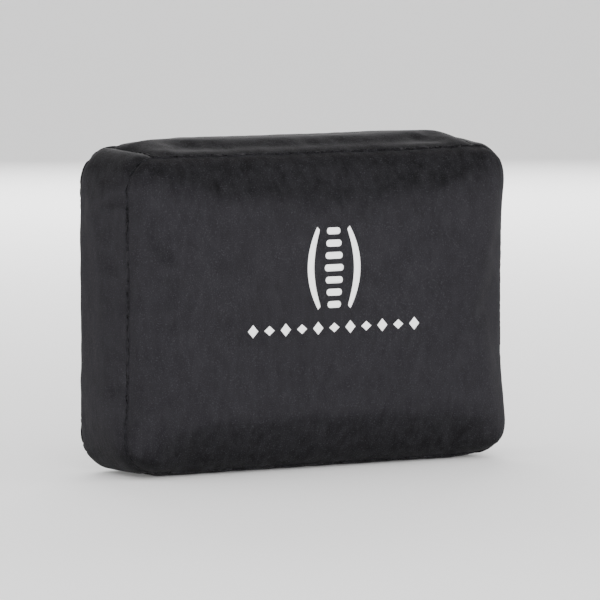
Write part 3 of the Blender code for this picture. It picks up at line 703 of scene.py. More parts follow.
def closed_cover(cover):
    """Vertices and tagged quads of the whole cover: crowned front, boxed edge and flat back."""
    columns, rows, rings = cover.columns, cover.rows, cover.side_rings
    middle = round(rows * ZIPPER_Z / HEIGHT)
    known_rows = [0, middle - 1, middle, middle + 1, rows]
    heights = [0.0, SLOT_LOW / HEIGHT, ZIPPER_Z / HEIGHT, SLOT_HIGH / HEIGHT, 1.0]
    v_rows = np.interp(range(rows + 1), known_rows, heights)
    points, index = [], {}
    for face in ("front", "back"):
        for j, v in enumerate(v_rows):
            for i in range(columns + 1):
                x, z = front_view(i / columns, v)
                inside = max(0.0, edge_distance(x, z))
                if face == "front":
                    lift = math.sqrt(max(0.0, 1 - (1 - min(inside / cover.roll, 1.0)) ** 2))
                    level, tilt = x / HALF_WIDTH, (z - MID_Z) / MID_Z
                    dome = max(0.0, 1 - abs(tilt) ** 2.2) * max(0.0, 1 - abs(level) ** 4)
                    y = FRONT_SEAM_Y - cover.crown * (0.70 * lift + 0.34 * dome)
                else:
                    y = BACK_SEAM_Y + (BACK_Y - BACK_SEAM_Y) * min(1.0, inside / (5 * MM))
                    if abs(j - middle) <= 1 and abs(abs(x) - SLOT_HALF_LENGTH) < HALF_WIDTH / columns:
                        x = math.copysign(SLOT_HALF_LENGTH, x)
                index[face, i, j] = len(points)
                points.append([x, y, z])
    border = [(i, 0) for i in range(columns)] + [(columns, j) for j in range(rows)]
    border += [(i, rows) for i in range(columns, 0, -1)] + [(0, j) for j in range(rows, 0, -1)]
    for ring in range(1, rings):
        share = ring / rings
        for k, (i, j) in enumerate(border):
            x, _, z = points[index["front", i, j]]
            index["side", k, ring] = len(points)
            points.append([x, FRONT_SEAM_Y + (BACK_SEAM_Y - FRONT_SEAM_Y) * share, z])
    for k, (i, j) in enumerate(border):
        index["side", k, 0] = index["front", i, j]
        index["side", k, rings] = index["back", i, j]
    quads = []
    for j in range(rows):
        for i in range(columns):
            ring = [("front", i, j), ("front", i + 1, j), ("front", i + 1, j + 1), ("front", i, j + 1)]
            quads.append([index[key] for key in ring])
            quads.append([index["back", key[1], key[2]] for key in ring[::-1]])
    for k in range(len(border)):
        after = (k + 1) % len(border)
        for ring in range(rings):
            quads.append(
                [index["side", k, ring], index["side", k, ring + 1],
                 index["side", after, ring + 1], index["side", after, ring]]
            )
    return np.array(points), quads


def panel_of(centre, normal_y):
    """Name of the cover panel that a face centre belongs to."""
    x, y, z = centre
    if y < FRONT_SEAM_Y:
        return "front_panel"
    if normal_y > 0.7 and y > BACK_SEAM_Y - 1 * MM:
        if abs(x) < SLOT_HALF_LENGTH and SLOT_LOW < z < SLOT_HIGH:
            return "slot"
        return "back_panel_upper" if z > ZIPPER_Z else "back_panel_lower"
    if abs(x) < STRAIGHT_HALF:
        return "gusset_top" if z > MID_Z else "gusset_bottom"
    return "gusset_left" if x < 0 else "gusset_right"


def inflated(points, quads, cover):
    """Cloth simulation: the filling's pressure swells the cover while its seams draw up."""
    mesh = bpy.data.meshes.new("cover_simulation")
    mesh.from_pydata(points.tolist(), [], quads)
    obj = bpy.data.objects.new("cover_simulation", mesh)
    bpy.context.scene.collection.objects.link(obj)
    held = obj.vertex_groups.new(name="held")
    seams = obj.vertex_groups.new(name="seams")
    for i, (x, y, z) in enumerate(points):
        on_back = y > BACK_SEAM_Y - 0.1 * MM
        on_floor = z < 0.01 * MM and abs(x) < STRAIGHT_HALF - 20 * MM
        if on_back or on_floor:
            held.add([i], 1.0, "REPLACE")
        if abs(y - FRONT_SEAM_Y) < 0.2 * MM:
            seams.add([i], 1.0, "REPLACE")
    cloth = obj.modifiers.new("cloth", "CLOTH")
    settings = cloth.settings
    settings.quality = 6
    settings.mass = 0.25
    settings.tension_stiffness = 12
    settings.compression_stiffness = 12
    settings.shear_stiffness = 8
    settings.bending_stiffness = 0.4
    settings.use_pressure = True
    settings.uniform_pressure_force = cover.pressure
    settings.effector_weights.gravity = 0.0
    settings.vertex_group_mass = "held"
    settings.vertex_group_shrink = "seams"
    settings.shrink_min = 0.0
    settings.shrink_max = 0.012
    scene = bpy.context.scene
    scene.frame_start, scene.frame_end = 1, SIMULATED_FRAMES
    for step in range(1, SIMULATED_FRAMES + 1):
        scene.frame_set(step)
    graph = bpy.context.evaluated_depsgraph_get()
    swollen = obj.evaluated_get(graph).data
    moved = np.array([vertex.co[:] for vertex in swollen.vertices])
    scene.frame_set(1)
    bpy.data.objects.remove(obj)
    bpy.data.meshes.remove(mesh)
    return moved


def limited(points, moved, most):
    """Cap how far each point moved."""
    step = moved - points
    length = np.linalg.norm(step, axis=1, keepdims=True)
    return points + step * np.minimum(1.0, most / np.maximum(length, 1e-9))


def settled(points, cover):
    """Waist the sides, swell the free zones of the back and keep the base on the floor."""
    swells = ((STRAP[1].z + 4 * MM, HEIGHT, 3.2 * MM), (0.0, ZIPPER_Z - 8 * MM, 1.6 * MM))
    shaped = points.copy()
    for i, (x, y, z) in enumerate(points):
        side = (z - MID_Z) / MID_Z
        level = x / HALF_WIDTH
        shaped[i][0] = x * (1 - cover.waist / HALF_WIDTH * max(0.0, 1 - side**2))
        if z > MID_Z:
            drop = 0.4 * cover.waist / MID_Z * max(0.0, 1 - level**2)
            shaped[i][2] = MID_Z + (z - MID_Z) * (1 - drop)
        if y > BACK_SEAM_Y - 0.1 * MM and edge_distance(x, z) > 0:
            for low, high, rise in swells:
                if low < z < high:
                    swell = math.sin(math.pi * (z - low) / (high - low)) ** 1.3
                    shaped[i][1] += rise * swell * (1 - level**4)
        shaped[i][2] = max(shaped[i][2], 0.0)
    return shaped


def near_border(bm, step=0.4 * MM):
    """A search tree of closely spaced points along the open border of a mesh."""
    samples = []
    for edge in bm.edges:
        if edge.is_boundary:
            one, two = (vert.co for vert in edge.verts)
            count = max(1, round((two - one).length / step))
            samples += [one.lerp(two, k / count) for k in range(count)]
    tree = KDTree(len(samples))
    for k, point in enumerate(samples):
        tree.insert(point, k)
    tree.balance()
    return tree


def turned_in(name, points, normals, quads, cover):
    """One panel of the cover with its borders turned in, as a smooth sheet."""
    bm = bmesh.new()
    used = sorted({i for quad in quads for i in quad})
    verts = {i: bm.verts.new(points[i]) for i in used}
    for quad in quads:
        bm.faces.new([verts[i] for i in quad])
    nearest = KDTree(len(used))
    for i in used:
        nearest.insert(points[i], i)
    nearest.balance()
    bmesh.ops.inset_region(
        bm, faces=bm.faces[:], thickness=cover.seam_width, use_boundary=True, use_even_offset=True,
    )
    border = {vert for vert in bm.verts if vert.is_boundary}
    across = [edge for edge in bm.edges if sum(vert in border for vert in edge.verts) == 1]
    bmesh.ops.subdivide_edges(bm, edges=across, cuts=3, use_grid_fill=True)
    edge_tree = near_border(bm)
    moves = []
    for vert in bm.verts:
        near = min(1.0, max(0.0, 1 - edge_tree.find(vert.co)[2] / cover.seam_width))
        if near > 0:
            sink = 0.4 * near**2 + 0.6 * (1 - math.sqrt(1 - near**2))
            outward = Vector(normals[nearest.find(vert.co)[1]])
            moves.append((vert, outward * cover.seam_depth * sink, beside_slot(vert.co)))
    for vert, move, by_slot in moves:
        vert.co -= move
        if by_slot:
            vert.co.y = max(vert.co.y, SLOT_EDGE_Y)
    mesh = bpy.data.meshes.new(name)
    bm.to_mesh(mesh)
    bm.free()
    obj = link_mesh(name, mesh, "polyester_plush", smooth=0)
    surface = obj.modifiers.new("rounded", "SUBSURF")
    surface.levels = surface.render_levels = 1
    return baked(obj)


def seam_distance(point):
    """Distance from the nearest seam of the cover."""
    x, y, z = point
    inside = max(0.0, edge_distance(x, z))
    seams = [math.hypot(y - FRONT_SEAM_Y, inside), math.hypot(y - BACK_SEAM_Y, inside)]
    if abs(y) < BACK_SEAM_Y - 2 * MM:
        seams.append(abs(abs(x) - STRAIGHT_HALF))
    if y > BACK_SEAM_Y - 4 * MM:
        inside_slot = SLOT_HALF_HEIGHT if abs(x) < SLOT_HALF_LENGTH else 0.0
        seams.append(max(0.0, abs(z - ZIPPER_Z) - inside_slot))
    return min(seams)


def ripple(obj, cover):
    """Fine puckers that run out from the seams, and a slow unevenness of the filling."""
    normals = [vert.normal.copy() for vert in obj.data.vertices]
    for vert, normal in zip(obj.data.vertices, normals):
        x, y, z = vert.co
        away = seam_distance(vert.co)
        fade = min(1.0, max(0.0, away - 3.8 * MM) / (3.5 * MM))
        coarse = noise.noise(Vector((x * 90, y * 14, z * 90)))
        fine = noise.noise(Vector((x * 190, y * 20, z * 190)))
        slow = noise.noise(Vector((x * 17, y * 25, z * 17 + 7)))
        lift = cover.pucker * 1.7 * (coarse + 0.25 * fine) * math.exp(-away / (13 * MM))
        lift += 0.5 * MM * slow * (1.0 if y < FRONT_SEAM_Y else 0.5)
        vert.co += normal * lift * fade
        vert.co.z = max(vert.co.z, 0.0)
    obj.data.update()


def vertex_normals(points, quads):
    """Normals at the vertices, and the centre and normal's Y of each quad."""
    mesh = bpy.data.meshes.new("normals")
    mesh.from_pydata(points.tolist(), [], quads)
    mesh.update()
    normals = np.array([vert.normal[:] for vert in mesh.vertices])
    centres = [(poly.center.copy(), poly.normal.y) for poly in mesh.polygons]
    bpy.data.meshes.remove(mesh)
    return normals, centres


def cover_shape(cover):
    """Points, quads, panel names and normals of the stuffed cover, worked out once."""
    if "shape" not in MADE:
        points, quads = closed_cover(cover)
        tags = [panel_of(centre, normal_y) for centre, normal_y in vertex_normals(points, quads)[1]]
        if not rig.quick():
            points = limited(points, inflated(points, quads, cover), MOST_SWELL)
        points = settled(points, cover)
        MADE["shape"] = points, quads, tags, vertex_normals(points, quads)[0]
    return MADE["shape"]


class LUMBAR_OT_cover(bpy.types.Operator):
    """Sewn plush cover: crowned front, boxed edge and back, swollen by its filling"""

    bl_idname = "lumbar.cover"
    bl_label = "Plush Cover"

    def execute(self, context):
        cover = context.scene.lumbar_cover
        points, quads, tags, normals = cover_shape(cover)
        for name in sorted(set(tags) - {"slot"}):
            chosen = [quad for quad, tag in zip(quads, tags) if tag == name]
            panel = turned_in(f"plush_{name}", points, normals, chosen, cover)
            ripple(panel, cover)
            if name in ("front_panel", "back_panel_upper"):
                MADE[name] = BVHTree.FromObject(panel, bpy.context.evaluated_depsgraph_get())
            thicken(panel, cover.fabric)
            finish_piece(panel, "cushion", "plush", name)
            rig.padded(panel, fill=0.85)
        return {"FINISHED"}


class LUMBAR_OT_filling(bpy.types.Operator):
    """Foam core and the two halves of its liner, closely inside the cover"""

    bl_idname = "lumbar.filling"
    bl_label = "Foam and Liner"

    def execute(self, context):
        points, quads, tags, normals = cover_shape(context.scene.lumbar_cover)
        back_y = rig.box("liner_back")[1].y
        behind = [tag.startswith("back") or tag == "slot" for tag in tags]
        for node, depth, room, keep in (
            ("foam_core", 6.0 * MM, 1.1 * MM, (False, True)),
            ("liner_front", 5.0 * MM, 0.0, (False,)),
            ("liner_back", 5.0 * MM, 0.0, (True,)),
        ):
            inner = points - normals * depth
            inner[:, 1] = np.minimum(inner[:, 1], back_y - room)
            chosen = [quad for quad, back in zip(quads, behind) if back in keep]
            mesh = bpy.data.meshes.new(node)
            mesh.from_pydata(inner.tolist(), [], chosen)
            mesh.update()
            is_foam = node == "foam_core"
            finish = "cut_foam" if is_foam else "spunbond_liner"
            piece = link_mesh(f"made_{node}", mesh, finish, smooth=60)
            if not is_foam:
                thicken(piece, 0.5 * MM)
            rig.padded(piece, fill=0.85 if is_foam else 0.5)
            finish_piece(piece, "cushion", "foam" if is_foam else "liner", node)
        return {"FINISHED"}


# ---------------------------------------------------------------- solids


def thicken(obj, thickness, offset=-1.0):
    """Give a sheet its thickness: inward, or outward with an offset of 1."""
    sheet = obj.modifiers.new("thickness", "SOLIDIFY")
    sheet.thickness = thickness
    sheet.offset = offset
    return baked(obj)


def prism(points, low, high, axis="Y"):
    """A closed outline of (x, z) points swept along Y, of (x, y) along Z, or of (y, z) along X."""
    order = {"Y": (0, 2, 1), "Z": (0, 1, 2), "X": (1, 2, 0)}[axis]
    rings = []
    for depth in (low, high):
        ring = []
        for a, b in points:
            place = [0.0, 0.0, 0.0]
            place[order[0]], place[order[1]], place[order[2]] = a, b, depth
            ring.append(place)
        rings.append(ring)
    bm = bmesh.new()
    skin(bm, rings)
    return bm


def moulded(name, points, low, high, finish, edge=0.0, axis="Y"):
    """A prism with rounded edges."""
    obj = link_mesh(name, mesh_from(name, prism(points, low, high, axis)), finish)
    return eased(obj, edge) if edge else obj


def eased(obj, width, segments=3):
    """Round the sharp edges of a solid."""
    bevel = obj.modifiers.new("edges", "BEVEL")
    bevel.width = width
    bevel.segments = segments
    bevel.limit_method = "ANGLE"
    bevel.angle_limit = math.radians(35)
    bevel.use_clamp_overlap = True
    baked(obj)
    obj.data.shade_smooth()
    obj.data.set_sharp_from_angle(angle=math.radians(38))
    return obj


def combined(obj, operation, *others):
    """Join or cut a solid by others, which are used up."""
    for other in others:
        boolean = obj.modifiers.new("combine", "BOOLEAN")
        boolean.object = other
        boolean.operation = operation
        boolean.solver = "EXACT"
        baked(obj)
        bpy.data.objects.remove(other)
    obj.data.shade_smooth()
    obj.data.set_sharp_from_angle(angle=math.radians(38))
    return obj


def stitches(name, runs, body, slot="elastic", pitch=None):
    """Rows of raised stitches along runs of points that lie on a surface facing back."""
    hardware = bpy.context.scene.lumbar_hardware
    pitch = pitch or hardware.stitch_pitch
    back = Vector((0, 1, 0))
    bm = bmesh.new()
    for run in runs:
        run = [Vector(point) for point in run]
        for start, end in zip(run, run[1:]):
            count = max(1, round((end - start).length / pitch))
            along = (end - start).normalized()
            across = along.cross(back).normalized()
            for k in range(count):
                near = start.lerp(end, (k + 0.09) / count)
                far = start.lerp(end, (k + 0.91) / count)
                rings = []
                for t, rise, size in STITCH_PROFILE:
                    centre = near.lerp(far, t) + back * STITCH_RISE * rise
                    ring = []
                    for step in range(6):
                        angle = math.tau * step / 6
                        out = across * math.cos(angle) + back * math.sin(angle)
                        ring.append(centre + out * hardware.stitch_radius * size)
                    rings.append(ring)
                skin(bm, rings)
    obj = link_mesh(name, mesh_from(name, bm), "sewing_thread", smooth=60)
    return finish_piece(obj, body, slot)


# ---------------------------------------------------------------- print


def ellipse(centre, half_x, half_z, steps=28):
    """An ellipse of (x, z) points."""
    angles = [math.tau * k / steps for k in range(steps)]
    return [(centre[0] + half_x * math.cos(a), centre[1] + half_z * math.sin(a)) for a in angles]


def bracket(centre, side, half_height, thickness, bow, steps=14):
    """A crescent that curves away from the centre line, thick in the middle and blunt at its ends."""
    outer, inner = [], []
    for k in range(-steps, steps + 1):
        t = k / steps
        x, z = bow * (1 - t**2), centre[1] + half_height * t
        thick = thickness * (0.35 + 0.65 * math.sqrt(1 - t**2))
        outer.append((centre[0] + side * x, z))
        inner.append((centre[0] + side * (x - thick), z))
    return outer + inner[-2:0:-1]


def mark_outlines():
    """A column of stacked rounded bars between two crescents."""
    low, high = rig.box("emblem_mark")
    middle = (low.z + high.z) / 2
    half = (high.z - low.z) / 2
    outlines = []
    count = 7
    for k in range(count):
        t = 2 * k / (count - 1) - 1
        width = 7.6 * MM - 2.2 * MM * abs(t)
        bar_z = middle + t * (half - 3.2 * MM)
        low_end, high_end = (-width, bar_z - 2.4 * MM), (width, bar_z + 2.4 * MM)
        outlines.append(rounded_outline(low_end, high_end, 2.2 * MM, 4))
    for side in (-1, 1):
        outlines.append(bracket((side * 13.2 * MM, middle), side, half, 5.2 * MM, 8.2 * MM))
    return outlines


def row_outlines():
    """A row of small lozenges."""
    low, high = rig.box("emblem_underline")
    middle = (low.z + high.z) / 2
    count, outlines = 11, []
    for k in range(count):
        x = low.x + 4.6 * MM + (high.x - low.x - 9.2 * MM) * k / (count - 1)
        half_x = 4.1 * MM
        half_z = 4.6 * MM if k % 2 == 0 else 3.4 * MM
        outlines.append(
            [(x, middle - half_z), (x + half_x, middle), (x, middle + half_z), (x - half_x, middle)]
        )
    return outlines


def printed(name, outlines):
    """Film shapes laid on the front panel, following its surface."""
    bm = bmesh.new()
    for outline in outlines:
        bm.faces.new([bm.verts.new((x, 0.0, z)) for x, z in outline])
    for normal, first, last in ((Vector((1, 0, 0)), -72, 72), (Vector((0, 0, 1)), 90, 176)):
        for k in range(first, last, 2):
            geometry = bm.verts[:] + bm.edges[:] + bm.faces[:]
            bmesh.ops.bisect_plane(bm, geom=geometry, plane_co=normal * k * MM, plane_no=normal)
    for vert in bm.verts:
        ahead = Vector((vert.co.x, -0.2, vert.co.z))
        hit = MADE["front_panel"].ray_cast(ahead, Vector((0, 1, 0)))[0]
        if hit is None:
            raise RuntimeError(f"{name} reaches past the front panel")
        vert.co = hit - Vector((0, 0.12 * MM, 0))
    mesh = mesh_from(name, bm)
    if sum(poly.normal.y for poly in mesh.polygons) > 0:
        mesh.flip_normals()
    obj = link_mesh(name, mesh, "transfer_film", smooth=0)
    return thicken(obj, 0.18 * MM, 1.0)


class LUMBAR_OT_print(bpy.types.Operator):
    """Heat-pressed film: a motif of stacked bars between crescents, over a row of lozenges"""

    bl_idname = "lumbar.print"
    bl_label = "Printed Motif"

    def execute(self, context):
        finish_piece(printed("film_mark", mark_outlines()), "cushion", "film", "emblem_mark")
        finish_piece(printed("film_row", row_outlines()), "cushion", "film", "emblem_underline")
        return {"FINISHED"}


# ---------------------------------------------------------------- zipper


def coil(name, node, side, phase):
    """A helix of monofilament squeezed flat, whose turns reach towards the middle."""
    low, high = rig.box(node)
    hardware = bpy.context.scene.lumbar_hardware
    turns = int((high.x - low.x - 1 * MM) / hardware.coil_pitch)
    start = -turns * hardware.coil_pitch / 2
    centre_y = (low.y + high.y) / 2
    inner = ZIPPER_Z + side * 0.5 * MM
    outer = high.z - 0.4 * MM if side > 0 else low.z + 0.4 * MM
    centre_z, half_z = (inner + outer) / 2, abs(outer - inner) / 2
    path = []
    steps = 10
    for k in range(turns * steps + 1):
        angle = math.tau * k / steps
        x = start + hardware.coil_pitch * (k / steps + phase)
        y = centre_y + 0.62 * MM * math.sin(angle)
        path.append(Vector((x, y, centre_z - side * half_z * math.cos(angle))))
    bm = bmesh.new()
    thread, corners = 0.31 * MM, [math.tau * j / 5 for j in range(5)]
    rings = []
    for k, point in enumerate(path):
        ahead = path[min(k + 1, len(path) - 1)] - path[max(k - 1, 0)]
        along = ahead.normalized()
        out = Vector((1, 0, 0)) - along * along.x
        out.normalize()
        over = along.cross(out)
        rings.append([point + (out * math.cos(a) + over * math.sin(a)) * thread for a in corners])
    skin(bm, rings)
    obj = link_mesh(name, mesh_from(name, bm), "nylon_coil", smooth=80)
    return finish_piece(obj, "cushion", "zipper_coil", node)


def tape(name, node):
    """A zipper tape: a thin woven strip, a little wavy."""
    low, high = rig.box(node)
    gap = 0.18 * MM
    low_z, high_z = (ZIPPER_Z + gap, high.z) if low.z > ZIPPER_Z else (low.z, ZIPPER_Z - gap)
    bm = bmesh.new()
    columns, rows = 96, 5
    grid = []
    for i in range(columns + 1):
        x = low.x + (high.x - low.x) * i / columns
        line = []
        for j in range(rows + 1):
            z = low_z + (high_z - low_z) * j / rows
            wave = 0.12 * MM * noise.noise(Vector((x * 60, 3.0, z * 90)))
            line.append(bm.verts.new((x, high.y - 0.15 * MM + wave, z)))
        grid.append(line)
    for one, two in zip(grid, grid[1:]):
        for j in range(rows):
            bm.faces.new((one[j], one[j + 1], two[j + 1], two[j]))
    mesh = mesh_from(name, bm)
    if mesh.polygons[0].normal.y < 0:
        mesh.flip_normals()
    obj = thicken(link_mesh(name, mesh, "woven_tape", smooth=0), 0.45 * MM)
    return finish_piece(obj, "cushion", "zipper_tape", node)


def mirrored(points):
    """A closed outline of (x, z) points given above the zipper's line, repeated below it."""
    return [(x, ZIPPER_Z + z) for x, z in points] + [(x, ZIPPER_Z - z) for x, z in points[::-1]]


def shield(centre_x, wide, narrow, length, steps=6):
    """(x, z) of a slider's plate: two rounded lobes at +X, tapering to a rounded end at -X."""
    half = length / 2
    points = arc((centre_x + half - wide / 2, wide / 2), wide / 2, 0, 90, steps)
    points.append((centre_x - half + narrow * 0.5, narrow))
    for x, z in arc((centre_x - half + narrow * 0.55, 0.0), narrow, 100, 180, steps):
        points.append((max(x, centre_x - half), z))
    return mirrored(points)


class LUMBAR_OT_zipper(bpy.types.Operator):
    """Nylon coil zipper: tapes, coils, stops and the topstitching round its slot"""

    bl_idname = "lumbar.zipper"
    bl_label = "Zipper"

    def execute(self, context):
        for name, side, phase in (("upper", 1, 0.0), ("lower", -1, 0.5)):
            coil(f"coil_{name}", f"zipper_teeth_{name}", side, phase)
            tape(f"tape_{name}", f"zipper_tape_{name}")
            self.stop(f"top_stop_{name}", f"zipper_top_stop_{name}", 0.8 * MM, 0.4 * MM)
        self.stop("bottom_stop", "zipper_bottom_stop", 0.9 * MM, 0.5 * MM)
        reach_x, reach_z = SLOT_HALF_LENGTH + 2.4 * MM, SLOT_HALF_HEIGHT + 2.4 * MM
        corners = [(-1, -1), (1, -1), (1, 1), (-1, 1), (-1, -1)]
        run = [(a * reach_x, BACK_Y + 0.05 * MM, ZIPPER_Z + b * reach_z) for a, b in corners]
        stitches("zipper_topstitch", [run], "cushion", slot="plush")
        return {"FINISHED"}

    def stop(self, name, node, corner, edge):
        """A crimped metal stop at an end of the coils."""
        low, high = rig.box(node)
        outline = rounded_outline((low.x, low.z), (high.x, high.z), corner)
        made = moulded(name, outline, low.y, high.y - 0.3 * MM, "painted_zinc", edge)
        finish_piece(made, "cushion", "zipper_metal", node)


class LUMBAR_OT_slider(bpy.types.Operator):
    """Zipper slider: two plates with flanges, an arch, and the pull that hangs from it"""

    bl_idname = "lumbar.slider"
    bl_label = "Slider and Pull"

    def execute(self, context):
        low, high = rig.box("zipper_slider")
        middle = (low.x + high.x) / 2
        half = (high.z - low.z) / 2
        top = high.y - 4.5 * MM
        plate = shield(middle, half, half * 0.78, high.x - low.x)
        slider = self.zinc("slider_body", plate, top, top + 1.2 * MM, 0.35 * MM)
        post = rounded_outline(
            (high.x - 4.5 * MM, ZIPPER_Z - 0.15 * MM), (high.x - 1 * MM, ZIPPER_Z + 0.15 * MM), 0.1 * MM
        )
        joins = [
            self.zinc("lower", plate, low.y, low.y + 1.2 * MM, 0.3 * MM),
            self.zinc("post", post, low.y + 0.6 * MM, top + 0.6 * MM),
        ]
        near_x, far_x, flange = low.x + 2.4 * MM, high.x - 2.2 * MM, 0.45 * MM
        for side in (-1, 1):
            far_z = ZIPPER_Z + side * (half - 0.55 * MM)
            near_z = far_z - side * 0.9 * MM
            outline = [(near_x, near_z - flange), (far_x, far_z - flange)]
            outline += [(far_x, far_z + flange), (near_x, near_z + flange)]
            joins.append(self.zinc("flange", outline, top - 2.0 * MM, top + 0.5 * MM, 0.15 * MM))
        foot = top + 0.4 * MM
        outer = [(x * 1.47, y) for x, y in arc((0.0, high.y - 1.6 * MM), 1.6 * MM, 0, 180, 8)]
        hole = [(x * 1.12, y) for x, y in arc((0.0, high.y - 2.2 * MM), 1.2 * MM, 180, 0, 8)]
        arch = [(2.35 * MM, foot), *outer, (-2.35 * MM, foot), (-1.35 * MM, foot), *hole, (1.35 * MM, foot)]
        outline = [(middle + x, y) for x, y in arch]
        joins.append(self.zinc("arch", outline, ZIPPER_Z - 0.8 * MM, ZIPPER_Z + 0.8 * MM, 0.22 * MM, "Z"))
        combined(slider, "UNION", *joins)
        finish_piece(slider, "slider", "zipper_metal", "zipper_slider")
        self.pull(*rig.box("zipper_pull"))
        return {"FINISHED"}

    def zinc(self, name, outline, low, high, edge=0.0, axis="Y"):
        """A cast and painted solid."""
        return moulded(name, outline, low, high, "painted_zinc", edge, axis)

    def pull(self, low, high):
        """A flat tag that narrows to a ring round the arch, with a long slot at its grip."""
        tail = 4.0 * MM
        upper = [(high.x, 2.2 * MM), (high.x - 5 * MM, 2.8 * MM), (high.x - 9.5 * MM, 2.8 * MM)]
        upper += [(high.x - 13 * MM, 3.5 * MM), (low.x + 6 * MM, 4.0 * MM)]
        upper += arc((low.x + tail, 0.0), tail, 90, 180, 7)
        outline = mirrored(upper)
        outline.pop(len(upper))  # the tip is on the line, so it isn't repeated
        tag = self.zinc("pull_tag", outline, low.y, high.y, 0.3 * MM)
        ring = rounded_outline(
            (high.x - 4.3 * MM, ZIPPER_Z - 1.6 * MM), (high.x - 1.2 * MM, ZIPPER_Z + 1.6 * MM), 0.5 * MM
        )
        slot = rounded_outline(
            (low.x + 2.6 * MM, ZIPPER_Z - 1.1 * MM), (low.x + 8.5 * MM, ZIPPER_Z + 1.1 * MM), 1.0 * MM
        )
        holes = [self.zinc("hole", points, low.y - 1 * MM, high.y + 1 * MM) for points in (ring, slot)]
        combined(tag, "DIFFERENCE", *holes)
        finish_piece(tag, "pull", "zipper_metal", "zipper_pull")


# ---------------------------------------------------------------- straps


def band(name, path, body, *nodes, cup=0.18 * MM):
    """A woven band swept along (x, y) points, with rounded selvedges and slightly cupped."""
    half = STRAP_THICKNESS / 2 - 0.02 * MM
    inner = STRAP_HALF_WIDTH - half
    upper = []
    for k in range(9):
        t = k / 4 - 1
        upper.append((t * inner, half * (1.0 if abs(t) > 0.9 else 0.86)))
    for degrees in (45, 90, 135):
        angle = math.radians(degrees)
        upper.append((inner + half * math.sin(angle), half * math.cos(angle)))
    ring_shape = upper + [(-z, -y) for z, y in upper]
    points = [Vector((x, y, 0.0)) for x, y in path]
    rings = []
    for k, point in enumerate(points):
        ahead = (points[min(k + 1, len(points) - 1)] - points[max(k - 1, 0)]).normalized()
        normal = Vector((-ahead.y, ahead.x, 0.0))
        wave = cup * noise.noise(Vector((point.x * 45, point.y * 45, 9.0)))
        ring = []
        for z, y in ring_shape:
            across = z / STRAP_HALF_WIDTH
            lift = y + cup * 0.6 * (across**2 - 0.5) + wave * across
            ring.append(point + normal * lift + Vector((0, 0, STRAP_Z + z)))
        rings.append(ring)
    bm = bmesh.new()
    skin(bm, rings)
    obj = link_mesh(name, mesh_from(name, bm), "elastic_webbing", smooth=50)
    return finish_piece(obj, body, "elastic", *nodes)


def run_of(x_from, x_to, y_at, step=2.0):
    """(x, y) points from one x to another, y given by a function of x."""
    count = max(2, round(abs(x_to - x_from) / (step * MM)))
    places = [x_from + (x_to - x_from) * k / count for k in range(count + 1)]
    return [(x, y_at(x)) for x in places]


def eased_step(x, start, end):
    """0 before the start and 1 after the end, with a smooth rise between them."""
    t = min(1.0, max(0.0, (x - start) / (end - start)))
    return t * t * (3 - 2 * t)


def round_bar(bar_x, bar_half, low_y, high_y, side, gap=0.9 * MM):
    """(x, y) of a band's route round one long edge of a bar, from under it to over it."""
    points = []
    for corner_y, start, end in ((low_y, -90, 0), (high_y, 0, 90)):
        for x, y in arc((0.0, corner_y), gap, start, end, 5):
            points.append((bar_x + side * (bar_half + x), y))
    return points


def box_stitch(x_low, x_high, y, inset=2.6 * MM):
    """A sewn rectangle with its diagonals, across a band."""
    low, high = STRAP[0].z + inset, STRAP[1].z - inset
    corners = [(x_low, low), (x_high, low), (x_high, high), (x_low, high), (x_low, low), (x_high, high)]
    return [[(x, y, z) for x, z in corners], [(x_low, y, high), (x_high, y, low)]]


def bar_tack(x, y, width=3.0 * MM):
    """Dense zigzag that holds a band into a seam."""
    low, high = STRAP[0].z + 1.5 * MM, STRAP[1].z - 1.5 * MM
    count = 15
    points = []
    for k in range(count + 1):
        points.append((x + (width / 2 if k % 2 else -width / 2), y, low + (high - low) * k / count))
    return [points]


